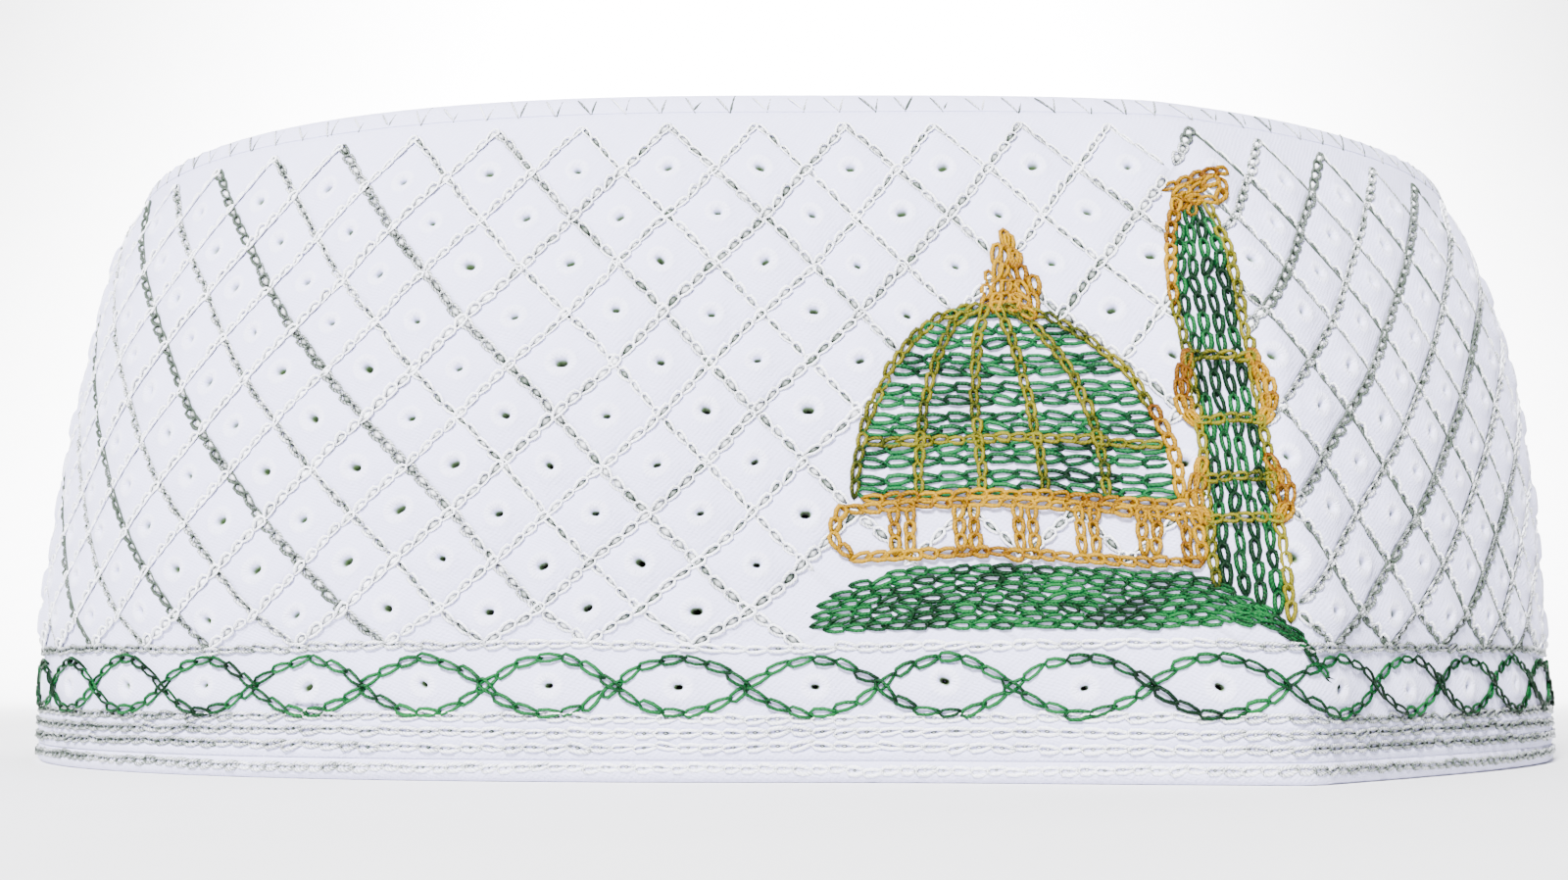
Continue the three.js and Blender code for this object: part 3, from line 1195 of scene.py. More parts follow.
        # On the inner face the marks are spread, so that the painted shade makes a small dot at each hole.
        marks = np.where(places[..., 2:] < -self.thickness * 0.5, marks * 1.6, marks)
        places[..., :2] += middles[:, None]
        faces = strips(len(rows), self.around)[:, ::-1]
        if not pierced:
            # The two rings in the middle are closed by a cap each and aren't joined.
            step, last = np.arange(self.around // 2 - 1), self.around - 1
            cap = np.stack([step, step + 1, last - 1 - step, last - step], axis=-1)
            faces = faces[(faces.min(axis=1) // self.around) != 2]
            faces = np.concatenate([faces, cap + 2 * self.around, cap[:, ::-1] + 3 * self.around])
        return places, faces, marks

    def _wedges(self, columns: Flat, row: int, point: int, side: int = 4) -> tuple[Flat, Flat]:
        """Half diamonds that close the lattice at its foot or its top.

        Args:
            columns: The column of each wedge's first corner on its straight side.
            row: The lattice row of the straight side.
            point: 1 where the wedge points up and -1 where it points down.
            side: How many steps a side has.

        Returns:
            Flat arc and height of each wedge's vertices, and its triangles.
        """
        spots, faces, starts = [], [], []
        for level in range(side + 1):
            starts.append(len(spots))
            spots += [(level / side + 2 * step / side, level / side) for step in range(side + 1 - level)]
        for level in range(side):
            for step in range(side - level):
                low, high = starts[level] + step, starts[level + 1] + step
                faces.append([low, low + 1, high])
                if step < side - 1 - level:
                    faces.append([low + 1, high + 1, high])
        across, rise = np.array(spots).T
        faces = np.array(faces)
        return self.quilting.flat(columns[:, None] + across, row + point * rise), faces[:, ::point]

    def _both_faces(self, patch: Patchwork, flat: Flat, faces: Flat) -> None:
        """Adds the same flat patch to the outer and the inner face.

        Args:
            patch: The patches so far.
            flat: Flat arc and height of the vertices, shaped (copies, vertices, 2).
            faces: Corner indices within one copy.
        """
        for out, order in ((0.0, faces), (-self.thickness, faces[:, ::-1])):
            patch.add(np.concatenate([flat, np.full((*flat.shape[:-1], 1), out)], axis=-1), order)

    def _zip(self, patch: Patchwork, low: Flat, high: Flat) -> None:
        """Joins two rings of different counts, on the outer and the inner face.

        Args:
            patch: The patches so far.
            low: Flat arc and height of the lower ring, in order of growing arc, one turn without its end.
            high: The same for the upper ring.
        """
        low, high = (np.concatenate([ring, ring[:1] + [self.form.way_round, 0]]) for ring in (low, high))
        i, j, split, faces = 0, 0, len(low), []
        while i < len(low) - 1 or j < len(high) - 1:
            ahead_low = low[i + 1, 0] if i < len(low) - 1 else math.inf
            ahead_high = high[j + 1, 0] if j < len(high) - 1 else math.inf
            if ahead_low < ahead_high:
                faces.append([i, i + 1, split + j])
                i += 1
            else:
                faces.append([i, split + j + 1, split + j])
                j += 1
        self._both_faces(patch, np.concatenate([low, high])[None], np.array(faces))

    def _sleeve(self, patch: Patchwork, arcs: Flat, section: list[Spot]) -> None:
        """Adds a sleeve of the cloth's section all round.

        Args:
            patch: The patches so far.
            arcs: The arcs of the vertices, one turn without its end.
            section: Heights and places out of each ring.
        """
        arcs = np.concatenate([arcs, arcs[:1] + self.form.way_round])
        patch.sheet(np.array([[(arc, height, out) for arc in arcs] for height, out in section]))

    def build(self) -> bpy.types.Object:
        """Builds the side.

        Returns:
            The quilted side, one closed shell.
        """
        quilt, patch = self.quilting, Patchwork()
        for row in range(quilt.rows):
            middles = quilt.flat(2 * np.arange(quilt.diamonds) + row % 2, row)
            reach = (quilt.height(row + 1) - quilt.height(row), quilt.height(row) - quilt.height(row - 1))
            for group, pierced in ((~self.covered[row], True), (self.covered[row], False)):
                if group.any():
                    spots, lifts = middles[group], self.lifts[row][group]
                    places, faces, marks = self._tiles(spots, quilt.half, reach, lifts, pierced=pierced)
                    places[..., 0] -= quilt.drift * (places[..., 1] - spots[:, None, 1])
                    column, level = quilt.counted(places[..., 0], places[..., 1])
                    patch.add(places, faces, marks, np.stack([column + level, column - level], axis=-1) / 2)
        columns, parity = 2.0 * np.arange(quilt.diamonds), (quilt.rows + 1) % 2
        self._both_faces(patch, *self._wedges(columns, -1, 1))
        self._both_faces(patch, *self._wedges(columns + parity, quilt.rows, -1))
        self._lower_band(patch)
        self._top_edge(patch, parity)
        return patch.join("side_band_cloth", self.form)

    def _lower_band(self, patch: Patchwork) -> None:
        """Adds the part below the lattice, with an eyelet in each oval of the wave band.

        Args:
            patch: The patches so far.
        """
        quilt, half = self.quilting, self.wave_half
        arcs = (np.arange(quilt.ovals) + quilt.oval_phase + 0.5) * quilt.oval_length
        middles = np.stack([arcs, np.full(quilt.ovals, quilt.wave_height)], axis=-1)
        lifts = np.full(quilt.ovals, self.flat_lift)
        patch.add(*self._tiles(middles, quilt.oval_length / 2, (half, half), lifts, square=True))
        fine = (np.arange(4 * quilt.ovals) / 4 + quilt.oval_phase) * quilt.oval_length
        low, high = quilt.wave_height - half, quilt.wave_height + half
        sill = quilt.flat(np.arange(4 * quilt.diamonds) / 2, -1)
        self._zip(patch, np.stack([fine, np.full(len(fine), high)], axis=-1), self._from(sill, fine[0]))
        back = -self.thickness
        rise = [(level, float(self.rib(level))) for level in np.linspace(self.bottom, self.ribs[-1], 19)]
        self._sleeve(patch, fine, [(low, back), (4.4, back), (self.bottom, back), *rise, (low, 0.0)])

    @staticmethod
    def _from(ring: Flat, start: float) -> Flat:
        """Turns a ring's order so that it begins at the first vertex past an arc."""
        first = int(np.argmax(ring[:, 0] >= start))
        turn = ring[-1, 0] - ring[0, 0] + ring[1, 0] - ring[0, 0]
        return np.concatenate([ring[first:], ring[:first] + [turn, 0]])

    def _top_edge(self, patch: Patchwork, parity: int) -> None:
        """Adds the plain strip above the lattice and the edge that carries the crown.

        Args:
            patch: The patches so far.
            parity: The column of the first tip, 0 or 1.
        """
        quilt, back = self.quilting, -self.thickness
        tips = quilt.flat(parity + np.arange(4 * quilt.diamonds) / 2, quilt.rows)
        level = float(tips[0, 1])
        section = [(level, 0.0), (68.0, 0.1), (self.top - 0.25, 0.0), (self.top, -0.3)]
        self._sleeve(patch, tips[:, 0], section + [(self.top, back), (68.0, back), (level, back)])


@dataclass
class CrownTop:
    """The flat top: a plain oval of cloth with a rolled edge that stands on the side."""

    form: CapForm
    thickness: float = 1.7
    rise: float = 1.6
    around: int = 560
    foot: float = 68.85
    puckers: int = 140
    pucker_depth: float = 0.13
    # Sizes of the rings as they are extruded: above 1.1 the underside, then the rolled edge, below 1 the top.
    rings: tuple[float, ...] = (
        1.30, 1.20, 1.14, 1.10, 1.08, 1.06, 1.04, 1.02, 1.01,
        0.994, 0.975, 0.94, 0.88, 0.8, 0.7, 0.6, 0.5, 0.4, 0.3, 0.2, 0.12, 0.05,
    )

    def build(self) -> bpy.types.Object:
        """Builds the crown from a circle that is extruded ring by ring and then drawn to the cap's outline.

        Returns:
            The crown, one closed body.
        """
        Modeller.start()
        bpy.ops.mesh.primitive_circle_add(vertices=self.around, radius=self.rings[0], fill_type="NOTHING")
        piece = bpy.context.object
        piece.name = piece.data.name = "crown_cloth"
        Modeller.edit(piece)
        for size, following in zip(self.rings, self.rings[1:]):
            bpy.ops.mesh.extrude_edges_move()
            bpy.ops.transform.resize(value=(following / size,) * 3, center_override=(0, 0, 0))
        bpy.ops.mesh.edge_face_add()
        bpy.ops.mesh.select_all(action="DESELECT")
        bpy.ops.mesh.select_non_manifold()
        bpy.ops.mesh.edge_face_add()
        Modeller.leave()
        x, y, _ = Modeller.places(piece.data).T
        drawn = self._drawn(np.hypot(x, y), np.arctan2(y, x))
        piece.data.vertices.foreach_set("co", (drawn * MM).ravel())
        for spare in list(piece.data.uv_layers):
            piece.data.uv_layers.remove(spare)
        Modeller.unroll(piece.data, "cloth", drawn[:, :2] * (1 + (self.form.height - drawn[:, 2:]) / 80))
        Modeller.face_outwards(piece)
        bpy.ops.object.shade_smooth_by_angle(angle=math.radians(50))
        return piece

    def _drawn(self, size: Flat, angle: Flat) -> Flat:
        """Draws the round rings out to the crown's form.

        Args:
            size: Each vertex's ring.
            angle: Each vertex's direction from the middle.

        Returns:
            Its place in millimetres.
        """
        arc = -angle / (2 * math.pi) * self.form.way_round
        sizes = [1.01, 1.02, 1.04, 1.06, 1.08, 1.10]
        height = np.interp(size, sizes, [71.08, 70.75, 70.1, 69.4, self.foot, self.foot])
        out = np.interp(size, sizes, [-0.35, 0.02, 0.15, 0.14, 0.08, -self.thickness])
        pulled = np.interp(size, [1.0, 1.02, 1.06, 1.08], [0.0, 1.0, 1.0, 0.0])
        out = out + self.pucker_depth * pulled * np.cos(self.puckers * angle)
        edge = self.form.place(np.stack([arc, height, out], axis=-1)) / MM
        share = np.where(size < 1, size, np.interp(size, [1.10, 1.14, 1.20, 1.30], [0.97, 0.93, 0.5, 0.04]))
        outline = self.form.base(arc, np.full(len(arc), self.form.height))
        dome = self.rise * (1 - share**2) + 0.25 * np.sin(3 * angle + 1) * share**2 * (1 - share)
        level = self.form.height + dome - np.where(size > 1.10, self.thickness, 0)
        disc = np.stack([outline[:, 0] * share, outline[:, 1] * share, level], axis=-1)
        return np.where(((size > 1) & (size < 1.105))[:, None], edge, disc)


@dataclass
class RimHem:
    """The hem: a fold under the side that is turned up inside it and gathered on the inner face."""

    form: CapForm
    pleats: int = 146
    steps: int = 4
    depth: float = 0.30
    slant: float = 0.35
    plain_from: float = 5.2
    top: float = 9.0
    inner: float = 2.05
    thickness: float = 1.15
    seed: int = 11

    def build(self) -> bpy.types.Object:
        """Builds the hem as one sleeve round its section.

        Returns:
            The hem, one closed ring.
        """
        inner, back = -self.inner, -self.inner - self.thickness
        # Each row: height, place out, and how much of the gathers shows there.
        section = [
            (self.top - 0.5, back + 0.25, 0.1), (self.top, back + 0.45, 0.1), (self.top, inner, 0.0),
            (5.0, inner, 0.0), (2.03, inner, 0.0), (2.03, 0.0, 0.0), (1.6, 0.02, 0.0), (1.0, 0.16, 0.0),
            (0.4, 0.02, 0.05), (0.08, -0.35, 0.2), (0.0, -0.7, 0.3), (0.0, back + 0.8, 0.6),
            (0.35, back + 0.15, 1.0), (1.2, back, 1.0), (2.4, back, 1.0), (3.6, back, 1.0),
            (4.6, back + 0.05, 0.8), (self.plain_from, back + 0.25, 0.35), (6.2, back + 0.1, 0.12),
            (7.4, back, 0.05),
            (self.top - 0.5, back + 0.25, 0.1),
        ]
        count = self.pleats * self.steps
        share = np.arange(count + 1) / count
        arcs = share * self.form.way_round
        strength = np.random.default_rng(self.seed).uniform(0.6, 1.3, self.pleats)
        strength = np.repeat(strength, self.steps)[np.arange(count + 1) % count]
        rows = []
        for height, out, shown in section:
            lean = height * self.slant / (self.form.way_round / self.pleats)
            gather = np.cos(2 * math.pi * (share * self.pleats + lean)) * self.depth * shown * strength
            rows.append(np.stack([arcs, np.full(count + 1, height), out - gather], axis=-1))
        patch = Patchwork()
        patch.sheet(np.stack(rows))
        return patch.join("rim_hem_cloth", self.form)


@dataclass
class SideSeam:
    """The lapped joint of the band: a narrow strip with two stitched ridges, on the inner face."""

    form: CapForm
    share: float = 0.785
    bottom: float = 10.2
    top: float = 67.8
    inner: float = 2.0
    thickness: float = 0.8
    rows: int = 60

    def build(self) -> bpy.types.Object:
        """Builds the strip from a grid that is wrapped to the inner face.

        Returns:
            The seam, one closed body.
        """
        across = np.array([-4.0, -3.9, -3.3, -2.8, -2.2, -1.2, 0.0, 1.2, 2.2, 2.8, 3.3, 3.9, 4.0])
        rise = np.array([0.0, 0.35, 0.8, 0.45, 0.8, 0.9, 0.85, 0.9, 0.8, 0.45, 0.8, 0.35, 0.0])
        levels = np.linspace(self.bottom, self.top, self.rows)
        height, arcs = np.meshgrid(levels, self.share * self.form.way_round - across, indexing="ij")
        ripple = 1 + 0.08 * np.sin(height * 2.9)
        face = np.stack([arcs, height, -self.inner - rise * self.thickness * ripple], axis=-1)
        back = np.stack([arcs, height, np.full(arcs.shape, -self.inner)], axis=-1)
        patch = Patchwork()
        patch.sheet(face)
        patch.sheet(back, turned=True)
        for end in (0, -1):
            patch.sheet(np.stack([face[end], back[end]]))
        piece = patch.join("side_seam_cloth", self.form)
        Modeller.face_outwards(piece)
        return piece


# The embroidery

NEXT_CREASE = math.inf


@dataclass(frozen=True)
class Profile:
    """Values that change along each half of the cap, at stops that are arcs from its crease."""

    stops: tuple[float, ...]
    values: tuple[float, ...]

    def along(self, form: CapForm) -> Callable[[Flat], Flat]:
        """The value at any arc of the cap."""
        half = form.way_round / 2
        stops = [half if stop == NEXT_CREASE else stop for stop in self.stops]
        return lambda arc: np.interp(arc % half, stops, self.values)


@dataclass(frozen=True)
class LineFamily:
    """One of the four sets of lattice lines: its first column, which way it climbs, and how it is worked."""

    name: str
    first: int
    way: int
    link: Link
    tone: Profile
    dip: Profile
    skew: Profile = Profile((0,), (0.0,))
    rise: float = 0.0


# Bold open chains and tight small ones, by turns. The joins of the tight ones are painted darker, as shade.
BOLD = Link(length=2.0, width=1.24, thread=0.31, pitch=1.72, lift=0.08, dip=(1.60, 0.92), joins=0.3)
TIGHT = Link(length=1.85, width=1.0, thread=0.30, pitch=1.72, lift=0.07, dip=(1.30, 0.74), joins=1.5)
# Past the crease the upper side of the loops that lean left is painted with sheen and the lower side in
# shade.
LEFT_SKEW = Profile((0, 70, 110, 235, 250), (0.25, 0.12, 0.0, 0.0, 0.55))
# Inside the loops that lean right the painted shade is paler at both ends of each half of the cap.
RIGHT_DIP = Profile((0, 12, 60, 90, 235, 250), (0.70, 0.34, 0.36, 0.75, 0.80, 0.80))
LINE_FAMILIES = (
    # The thread is painted dull, in shade, round the left end of each half, and the loops are painted dark
    # inside past the crease.
    LineFamily(
        "bold_left", 2, 1, BOLD,
        Profile(
            (0, 60, 78, 90, 102, 115, 155, 180, 250, 295),
            (0.7, 0.78, 0.5, 0.28, 0.08, -0.1, -0.1, 0.55, 0.5, 0.5),
        ),
        Profile((0, 10, 70, 100, 115, 235, 250), (0.05, 0.36, 0.36, 0.45, 0.55, 0.55, 0.0)), LEFT_SKEW,
    ),
    LineFamily(
        "tight_left", 4, 1, TIGHT,
        Profile(
            (0, 60, 80, 100, 120, 155, 180, 235, 250, 295),
            (0.9, 1.0, 0.8, 0.42, 0.25, 0.25, 0.8, 0.8, 0.6, 0.6),
        ),
        Profile((0, 10, 70, 100, 235, 250), (0.12, 0.40, 0.40, 0.40, 0.35, 0.12)), LEFT_SKEW,
    ),
    # The thread is painted in shade past the crease of each half and with sheen elsewhere, and the lines lie
    # over those that lean left.
    LineFamily(
        "bold_right", 0, -1, BOLD,
        Profile((0, 12, 60, 85, 235, 250, 295), (0.3, 0.78, 0.80, 1.05, 1.05, 0.10, 0.05)),
        RIGHT_DIP, rise=0.14,
    ),
    LineFamily(
        "tight_right", 2, -1, TIGHT,
        Profile((0, 12, 60, 85, 235, 250, 295), (0.4, 1.0, 1.0, 1.3, 1.3, 0.22, 0.22)),
        RIGHT_DIP, rise=0.14,
    ),
)


@dataclass
class LatticeStitches:
    """The lines of the lattice, four families of them, where no figure covers them."""

    form: CapForm
    quilting: Quilting
    figures: Figures
    shortest: int = 5  # steps of a stretch that is worked

    def paths(self, family: LineFamily) -> list[Flat]:
        """The flat paths of a family.

        Args:
            family: The set of lines.

        Returns:
            The stretches of its lines that no figure covers.
        """
        quilt, paths = self.quilting, []
        rows = np.linspace(-1, quilt.rows, 8 * (quilt.rows + 1) + 1)
        for column in range(family.first, 2 * quilt.diamonds + family.first, 4):
            line = quilt.flat(column + family.way * (rows + 1), rows)
            covered = self.figures.covers(*line.T, 0.0)
            edges = np.flatnonzero(np.diff(covered.astype(int))) + 1
            parts = np.split(np.arange(len(line)), edges)
            paths += [line[part] for part in parts if not covered[part[0]] and len(part) >= self.shortest]
        return paths

    def build(self, stitcher: Stitcher, effects: Effects) -> None:
        """Works the four families of lines.

        Args:
            stitcher: What works the stitches.
            effects: The shared effects.
        """
        white = Thread.WHITE.make(effects)
        for family in LINE_FAMILIES:
            tone, dip, skew = (profile.along(self.form) for profile in (family.tone, family.dip, family.skew))
            runs = [Run(path, family.rise, tone, dip, skew=skew) for path in self.paths(family)]
            dress(stitcher.work("lattice_" + family.name, runs, family.link, spread=0.12), white)


@dataclass
class RimRows:
    """The straight stitched rows below and above the wave band."""

    form: CapForm
    link: Link = Link(length=2.45, width=0.92, thread=0.34, pitch=2.1, dip=(0.62, 0.36))
    foot_link: Link = Link(length=1.95, width=0.95, thread=0.36, pitch=1.65, dip=(0.58, 0.40))
    heights: tuple[float, ...] = (3.3, 4.7, 6.05, 12.75)
    foot: float = 1.3
    sway: float = 0.12
    # Inside the loops the painted shade is darker at the left end of each half. The thread is painted in
    # shade there and past the crease.
    dip: Profile = Profile(
        (0, 30, 60, 100, 130, 250, NEXT_CREASE), (0.45, 0.45, 0.40, 0.25, 0.20, 0.35, 0.45)
    )
    tone: Profile = Profile(
        (0, 12, 60, 80, 100, 120, 155, 180, 235, 250, NEXT_CREASE),
        (0.40, 0.84, 0.84, 0.66, 0.46, 0.22, 0.2, 0.6, 0.5, 0.15, 0.3),
    )

    def row(self, height: float) -> Run:
        """One row all round, with a slight sway."""
        arcs = np.linspace(0, self.form.way_round, 600)
        sway = np.sin(arcs / self.form.way_round * 2 * math.pi * 9 + height) * self.sway
        path = np.stack([arcs, height + sway], axis=-1)
        return Run(path, 0.0, self.tone.along(self.form), self.dip.along(self.form))

    def build(self, stitcher: Stitcher, effects: Effects) -> None:
        """Works the rows."""
        white = Thread.WHITE.make(effects)
        pieces = (("rim_rows", self.heights, self.link), ("rim_foot_row", (self.foot,), self.foot_link))
        for name, heights, link in pieces:
            dress(stitcher.work(name, [self.row(height) for height in heights], link, spread=0.10), white)


@dataclass
class WaveBand:
    """The green band: two strands that cross and make a row of ovals."""

    form: CapForm
    quilting: Quilting
    link: Link = Link(length=2.55, width=1.10, thread=0.34, pitch=2.2)
    over: float = 0.16
    roundness: float = 0.85
    # The thread is painted in shade round the creases, and painted with sheen where it rises to the right.
    tone: Profile = Profile(
        (0, 20, 45, 85, 120, 250, NEXT_CREASE), (0.30, 0.45, 0.65, 0.65, 0.25, 0.15, 0.30)
    )
    slope_tone: float = 0.25

    def strand(self, side: int) -> Run:
        """Lays out one of the two strands, over the other at every second crossing.

        Args:
            side: 1 for the strand that begins upwards and -1 for the other.

        Returns:
            The strand's line of stitches.
        """
        quilt, plain = self.quilting, self.tone.along(self.form)
        turns = np.linspace(0, quilt.ovals, quilt.ovals * 24 + 1)
        arc = (turns + quilt.oval_phase) * quilt.oval_length
        swing = np.sin(math.pi * turns)
        height = quilt.wave_height + side * quilt.wave_rise * np.sign(swing) * np.abs(swing) ** self.roundness
        over = self.over * (1 + side * np.cos(math.pi * turns))

        def tone(place: Flat) -> Flat:
            """The tone at an arc, with its painted shade and sheen."""
            slope = side * np.cos(math.pi * (place / quilt.oval_length - quilt.oval_phase))
            return plain(place) - self.slope_tone * slope

        return Run(np.stack([arc, height], axis=-1), over, tone)

    def build(self, stitcher: Stitcher, effects: Effects) -> None:
        """Works both strands."""
        strands = [self.strand(1), self.strand(-1)]
        dress(stitcher.work("wave_band", strands, self.link), Thread.GREEN.make(effects))


@dataclass
class EmbroideredFigures:
    """The dome on its drum and base, and the minaret beside it, twice round the cap."""

    figures: Figures
    long: Link = Link(length=2.8, width=1.24, thread=0.44, pitch=2.35)
    packed: Link = Link(length=2.3, width=0.92, thread=0.36, pitch=1.95)
    slim: Link = Link(length=2.4, width=1.12, thread=0.46, pitch=2.0)
    outline: Link = Link(length=1.85, width=1.05, thread=0.40, pitch=1.5)
    broad: Link = Link(length=1.95, width=1.22, thread=0.46, pitch=1.55, lift=0.2)
    pairs: int = 7
    pair_step: float = 3.05
    pair_half: float = 0.66
    turret_from: float = 46.0  # the height above which the minaret's left side is gold

    def twice(
        self, lines: list[list[Spot] | Flat], rise: float = 0.0, tone: float = 0.5, loose: float = 1.0
    ) -> list[Run]:
        """The same lines beside both creases.

        Args:
            lines: Flat paths beside the first crease.
            rise: How high the stitches lie above the face.
            tone: The tone of their thread.
            loose: How loosely they are worked.

        Returns:
            The runs.
        """
        paths = [np.add(line, [origin, 0]) for origin in self.figures.origins for line in lines]
        return [Run(path, rise, tone, 0.0, loose) for path in paths]

    def base(self) -> list[Flat]:
        """The rows of the base, with its pointed left end. They run on under the minaret as a narrow tail."""
        low, high = self.figures.base_low, self.figures.base_high
        tail_arc = [-3.6, -1.0, 1.4, 3.9, 7.0, 10.0]
        tail_height = [8.7, 11.0, 13.9, 15.3, 16.3, 16.9]
        tail_half = [0.0, 0.3, 0.7, 1.1, 1.6, 2.1]
        lines = []
        for share, end in zip(np.linspace(0, 1, 7), (7.8, 5.0, 1.0, -3.6, -0.4, 3.2, 6.6)):
            left = np.interp(share, [0, 0.2, 0.5, 0.8, 1], [45.2, 46.8, 45.6, 43.2, 39.0])
            height = np.interp(share, [0, 0.2, 1], [low, low + 0.75, high])
            arcs = np.linspace(10.0, end, 7)
            spread = (2 * share - 1) * np.interp(arcs, tail_arc, tail_half)
            tail = zip(arcs, np.interp(arcs, tail_arc, tail_height) + spread)
            row = [(left, height - 0.25), (left - 4, height), (22, height + 0.1)]
            lines.append([*row, (14, height - 0.1 - 0.2 * share), *tail])
        return lines

    def dome_rows(self) -> list[Flat]:
        """The level rows that fill the dome, two by two with bare cloth between the pairs."""
        figure, bow = self.figures, np.linspace(-1, 1, 9)
        middles = figure.dome_foot + 1.25 + self.pair_step * np.arange(self.pairs)
        heights = np.stack([middles - self.pair_half, middles + self.pair_half], axis=-1).ravel()
        lines = []
        for height in heights[heights < figure.dome_foot + figure.dome_rise - 1.0]:
            reach = figure.dome_reach(height) - 0.35
            lines.append(np.stack([figure.dome_middle + bow * reach, height + 0.3 * (1 - bow**2)], axis=-1))
        return lines

    def dome_ribs(self, *shares: float, foot: float = 0.02, top: float = 0.985) -> list[Flat]:
        """Lines that climb the dome.

        Args:
            shares: Where each line runs, as shares of the dome's half width.
            foot: Where the lines begin, as a share of the dome's rise.
            top: Where they end.

        Returns:
            The flat paths.
        """
        figure = self.figures
        height = figure.dome_foot + figure.dome_rise * np.linspace(foot, top, 30)
        reach = figure.dome_reach(height)
        return [np.stack([figure.dome_middle + share * reach, height], axis=-1) for share in shares]

    def drum(self) -> list[list[Spot]]:
        """The gold drum: two rails and a third above them, paired posts with open windows, and both ends."""
        left, right, low, high = 43.0, 9.6, 21.2, 25.9
        lines = [
            [(left - 0.6, high), (30, high + 0.2), (right, high - 0.6)],
            [(left - 1, low), (30, low), (right, low - 0.7)],
            [(left - 2.4, high + 0.85), (30, high + 1.0), (right + 1, high + 0.3)],
        ]
        for middle in (37.3, 31.5, 26.0, 20.1, 14.2):
            for side in (-0.62, 0.62):
                lines.append([(middle + side, low + 0.2), (middle + side * 1.15, high - 0.2)])
        end = [(left - 0.9, low + 0.2), (left + 0.5, low + 1.4), (left + 0.6, high - 1.4), (left - 0.5, high)]
        other_end = [[(9.4 + side, low - 0.4), (10.0 + side, high - 0.6)] for side in (0.0, 1.2)]
        return [*lines, end, *other_end]

    def minaret_line(self, share: Flat | float, foot: float, top: float, steps: int = 40) -> Flat:
        """A line that climbs the minaret.

        Args:
            share: Where it runs, as a share of the minaret's half width, with 1 on the left side.
            foot: The height at which it begins.
            top: The height at which it ends.
            steps: How many points it has.

        Returns:
            The flat path.
        """
        height, figure = np.linspace(foot, top, steps), self.figures
        arc = figure.minaret_middle(height) + share * figure.minaret_reach(height)
        return np.stack([arc, height], axis=-1)

    def minaret_rows(self) -> list[Flat]:
        """The upright rows that fill the minaret, from its slanted foot to its rounded top."""
        rows = ((-0.666, 15.7, 55.0), (-0.222, 16.5, 56.6), (0.222, 17.4, 56.2), (0.666, 18.2, 54.4))
        return [self.minaret_line(*row) for row in rows]

    def bars(self) -> list[list[Spot]]:
        """The olive crossbars above and below each balcony."""
        figure, lines = self.figures, []
        for height in (24.6, 28.6, 34.2, 40.2):
            middle, reach = figure.minaret_middle(height), figure.minaret_reach(height) + 0.3
            lines.append([(middle + reach, height), (middle, height + 0.2), (middle - reach, height - 0.1)])
        return lines

    def balconies(self) -> list[Flat]:
        """The orange bulges on each side of the minaret."""
        lines = []
        for foot, top in ((24.4, 30.4), (33.8, 40.6)):
            swell = np.interp(np.linspace(0, 1, 12), [0, 0.15, 0.35, 0.6, 1], [0, 0.7, 1, 0.8, 0])
            for side in (-1, 1):
                for bulge in (1.6, 0.85):
                    line = self.minaret_line(side, foot, top, len(swell))
                    lines.append(line + np.stack([side * bulge * swell, 0 * swell], axis=-1))
        return lines

    @staticmethod
    def dome_finial() -> list[list[Spot] | Flat]:
        """The spire of the dome: lines that draw together and end one after another, over a spread foot."""
        lines = [[(26.8, 45.8), (24.6, 46.6), (22.4, 45.5)], [(26.2, 46.9), (24.5, 47.5), (22.8, 46.6)]]
        for share, top in ((-1.0, 49.2), (-0.6, 51.8), (-0.2, 53.6), (0.2, 53.9), (0.6, 52.4), (1.0, 49.8)):
            height = np.linspace(45.9, top, 8)
            half = np.interp(height, [45.9, 48.4, 51.0, 53.8], [2.5, 2.2, 1.7, 1.0])
            arc = np.interp(height, [45.9, 53.8], [24.6, 23.8]) + share * half
            lines.append(np.stack([arc, height], axis=-1))
        return lines

    @staticmethod
    def minaret_finial() -> list[list[Spot]]:
        """The tip of the minaret: a ridge that slants up to the right over a loop, on a short stem."""
        return [
            [(5.3, 58.9), (3.4, 59.6), (1.4, 60.2), (-0.8, 60.6), (-2.6, 61.2)],
            [(4.4, 58.1), (2.6, 58.7), (0.9, 59.4), (-0.6, 60.0)],
            [(3.6, 57.6), (1.8, 57.3), (0.2, 57.7), (-1.0, 58.6), (-1.0, 59.8)],
            [(2.0, 57.9), (3.0, 57.0), (3.9, 55.8)],
            [(2.8, 58.3), (3.9, 57.4), (4.7, 56.4)],
        ]

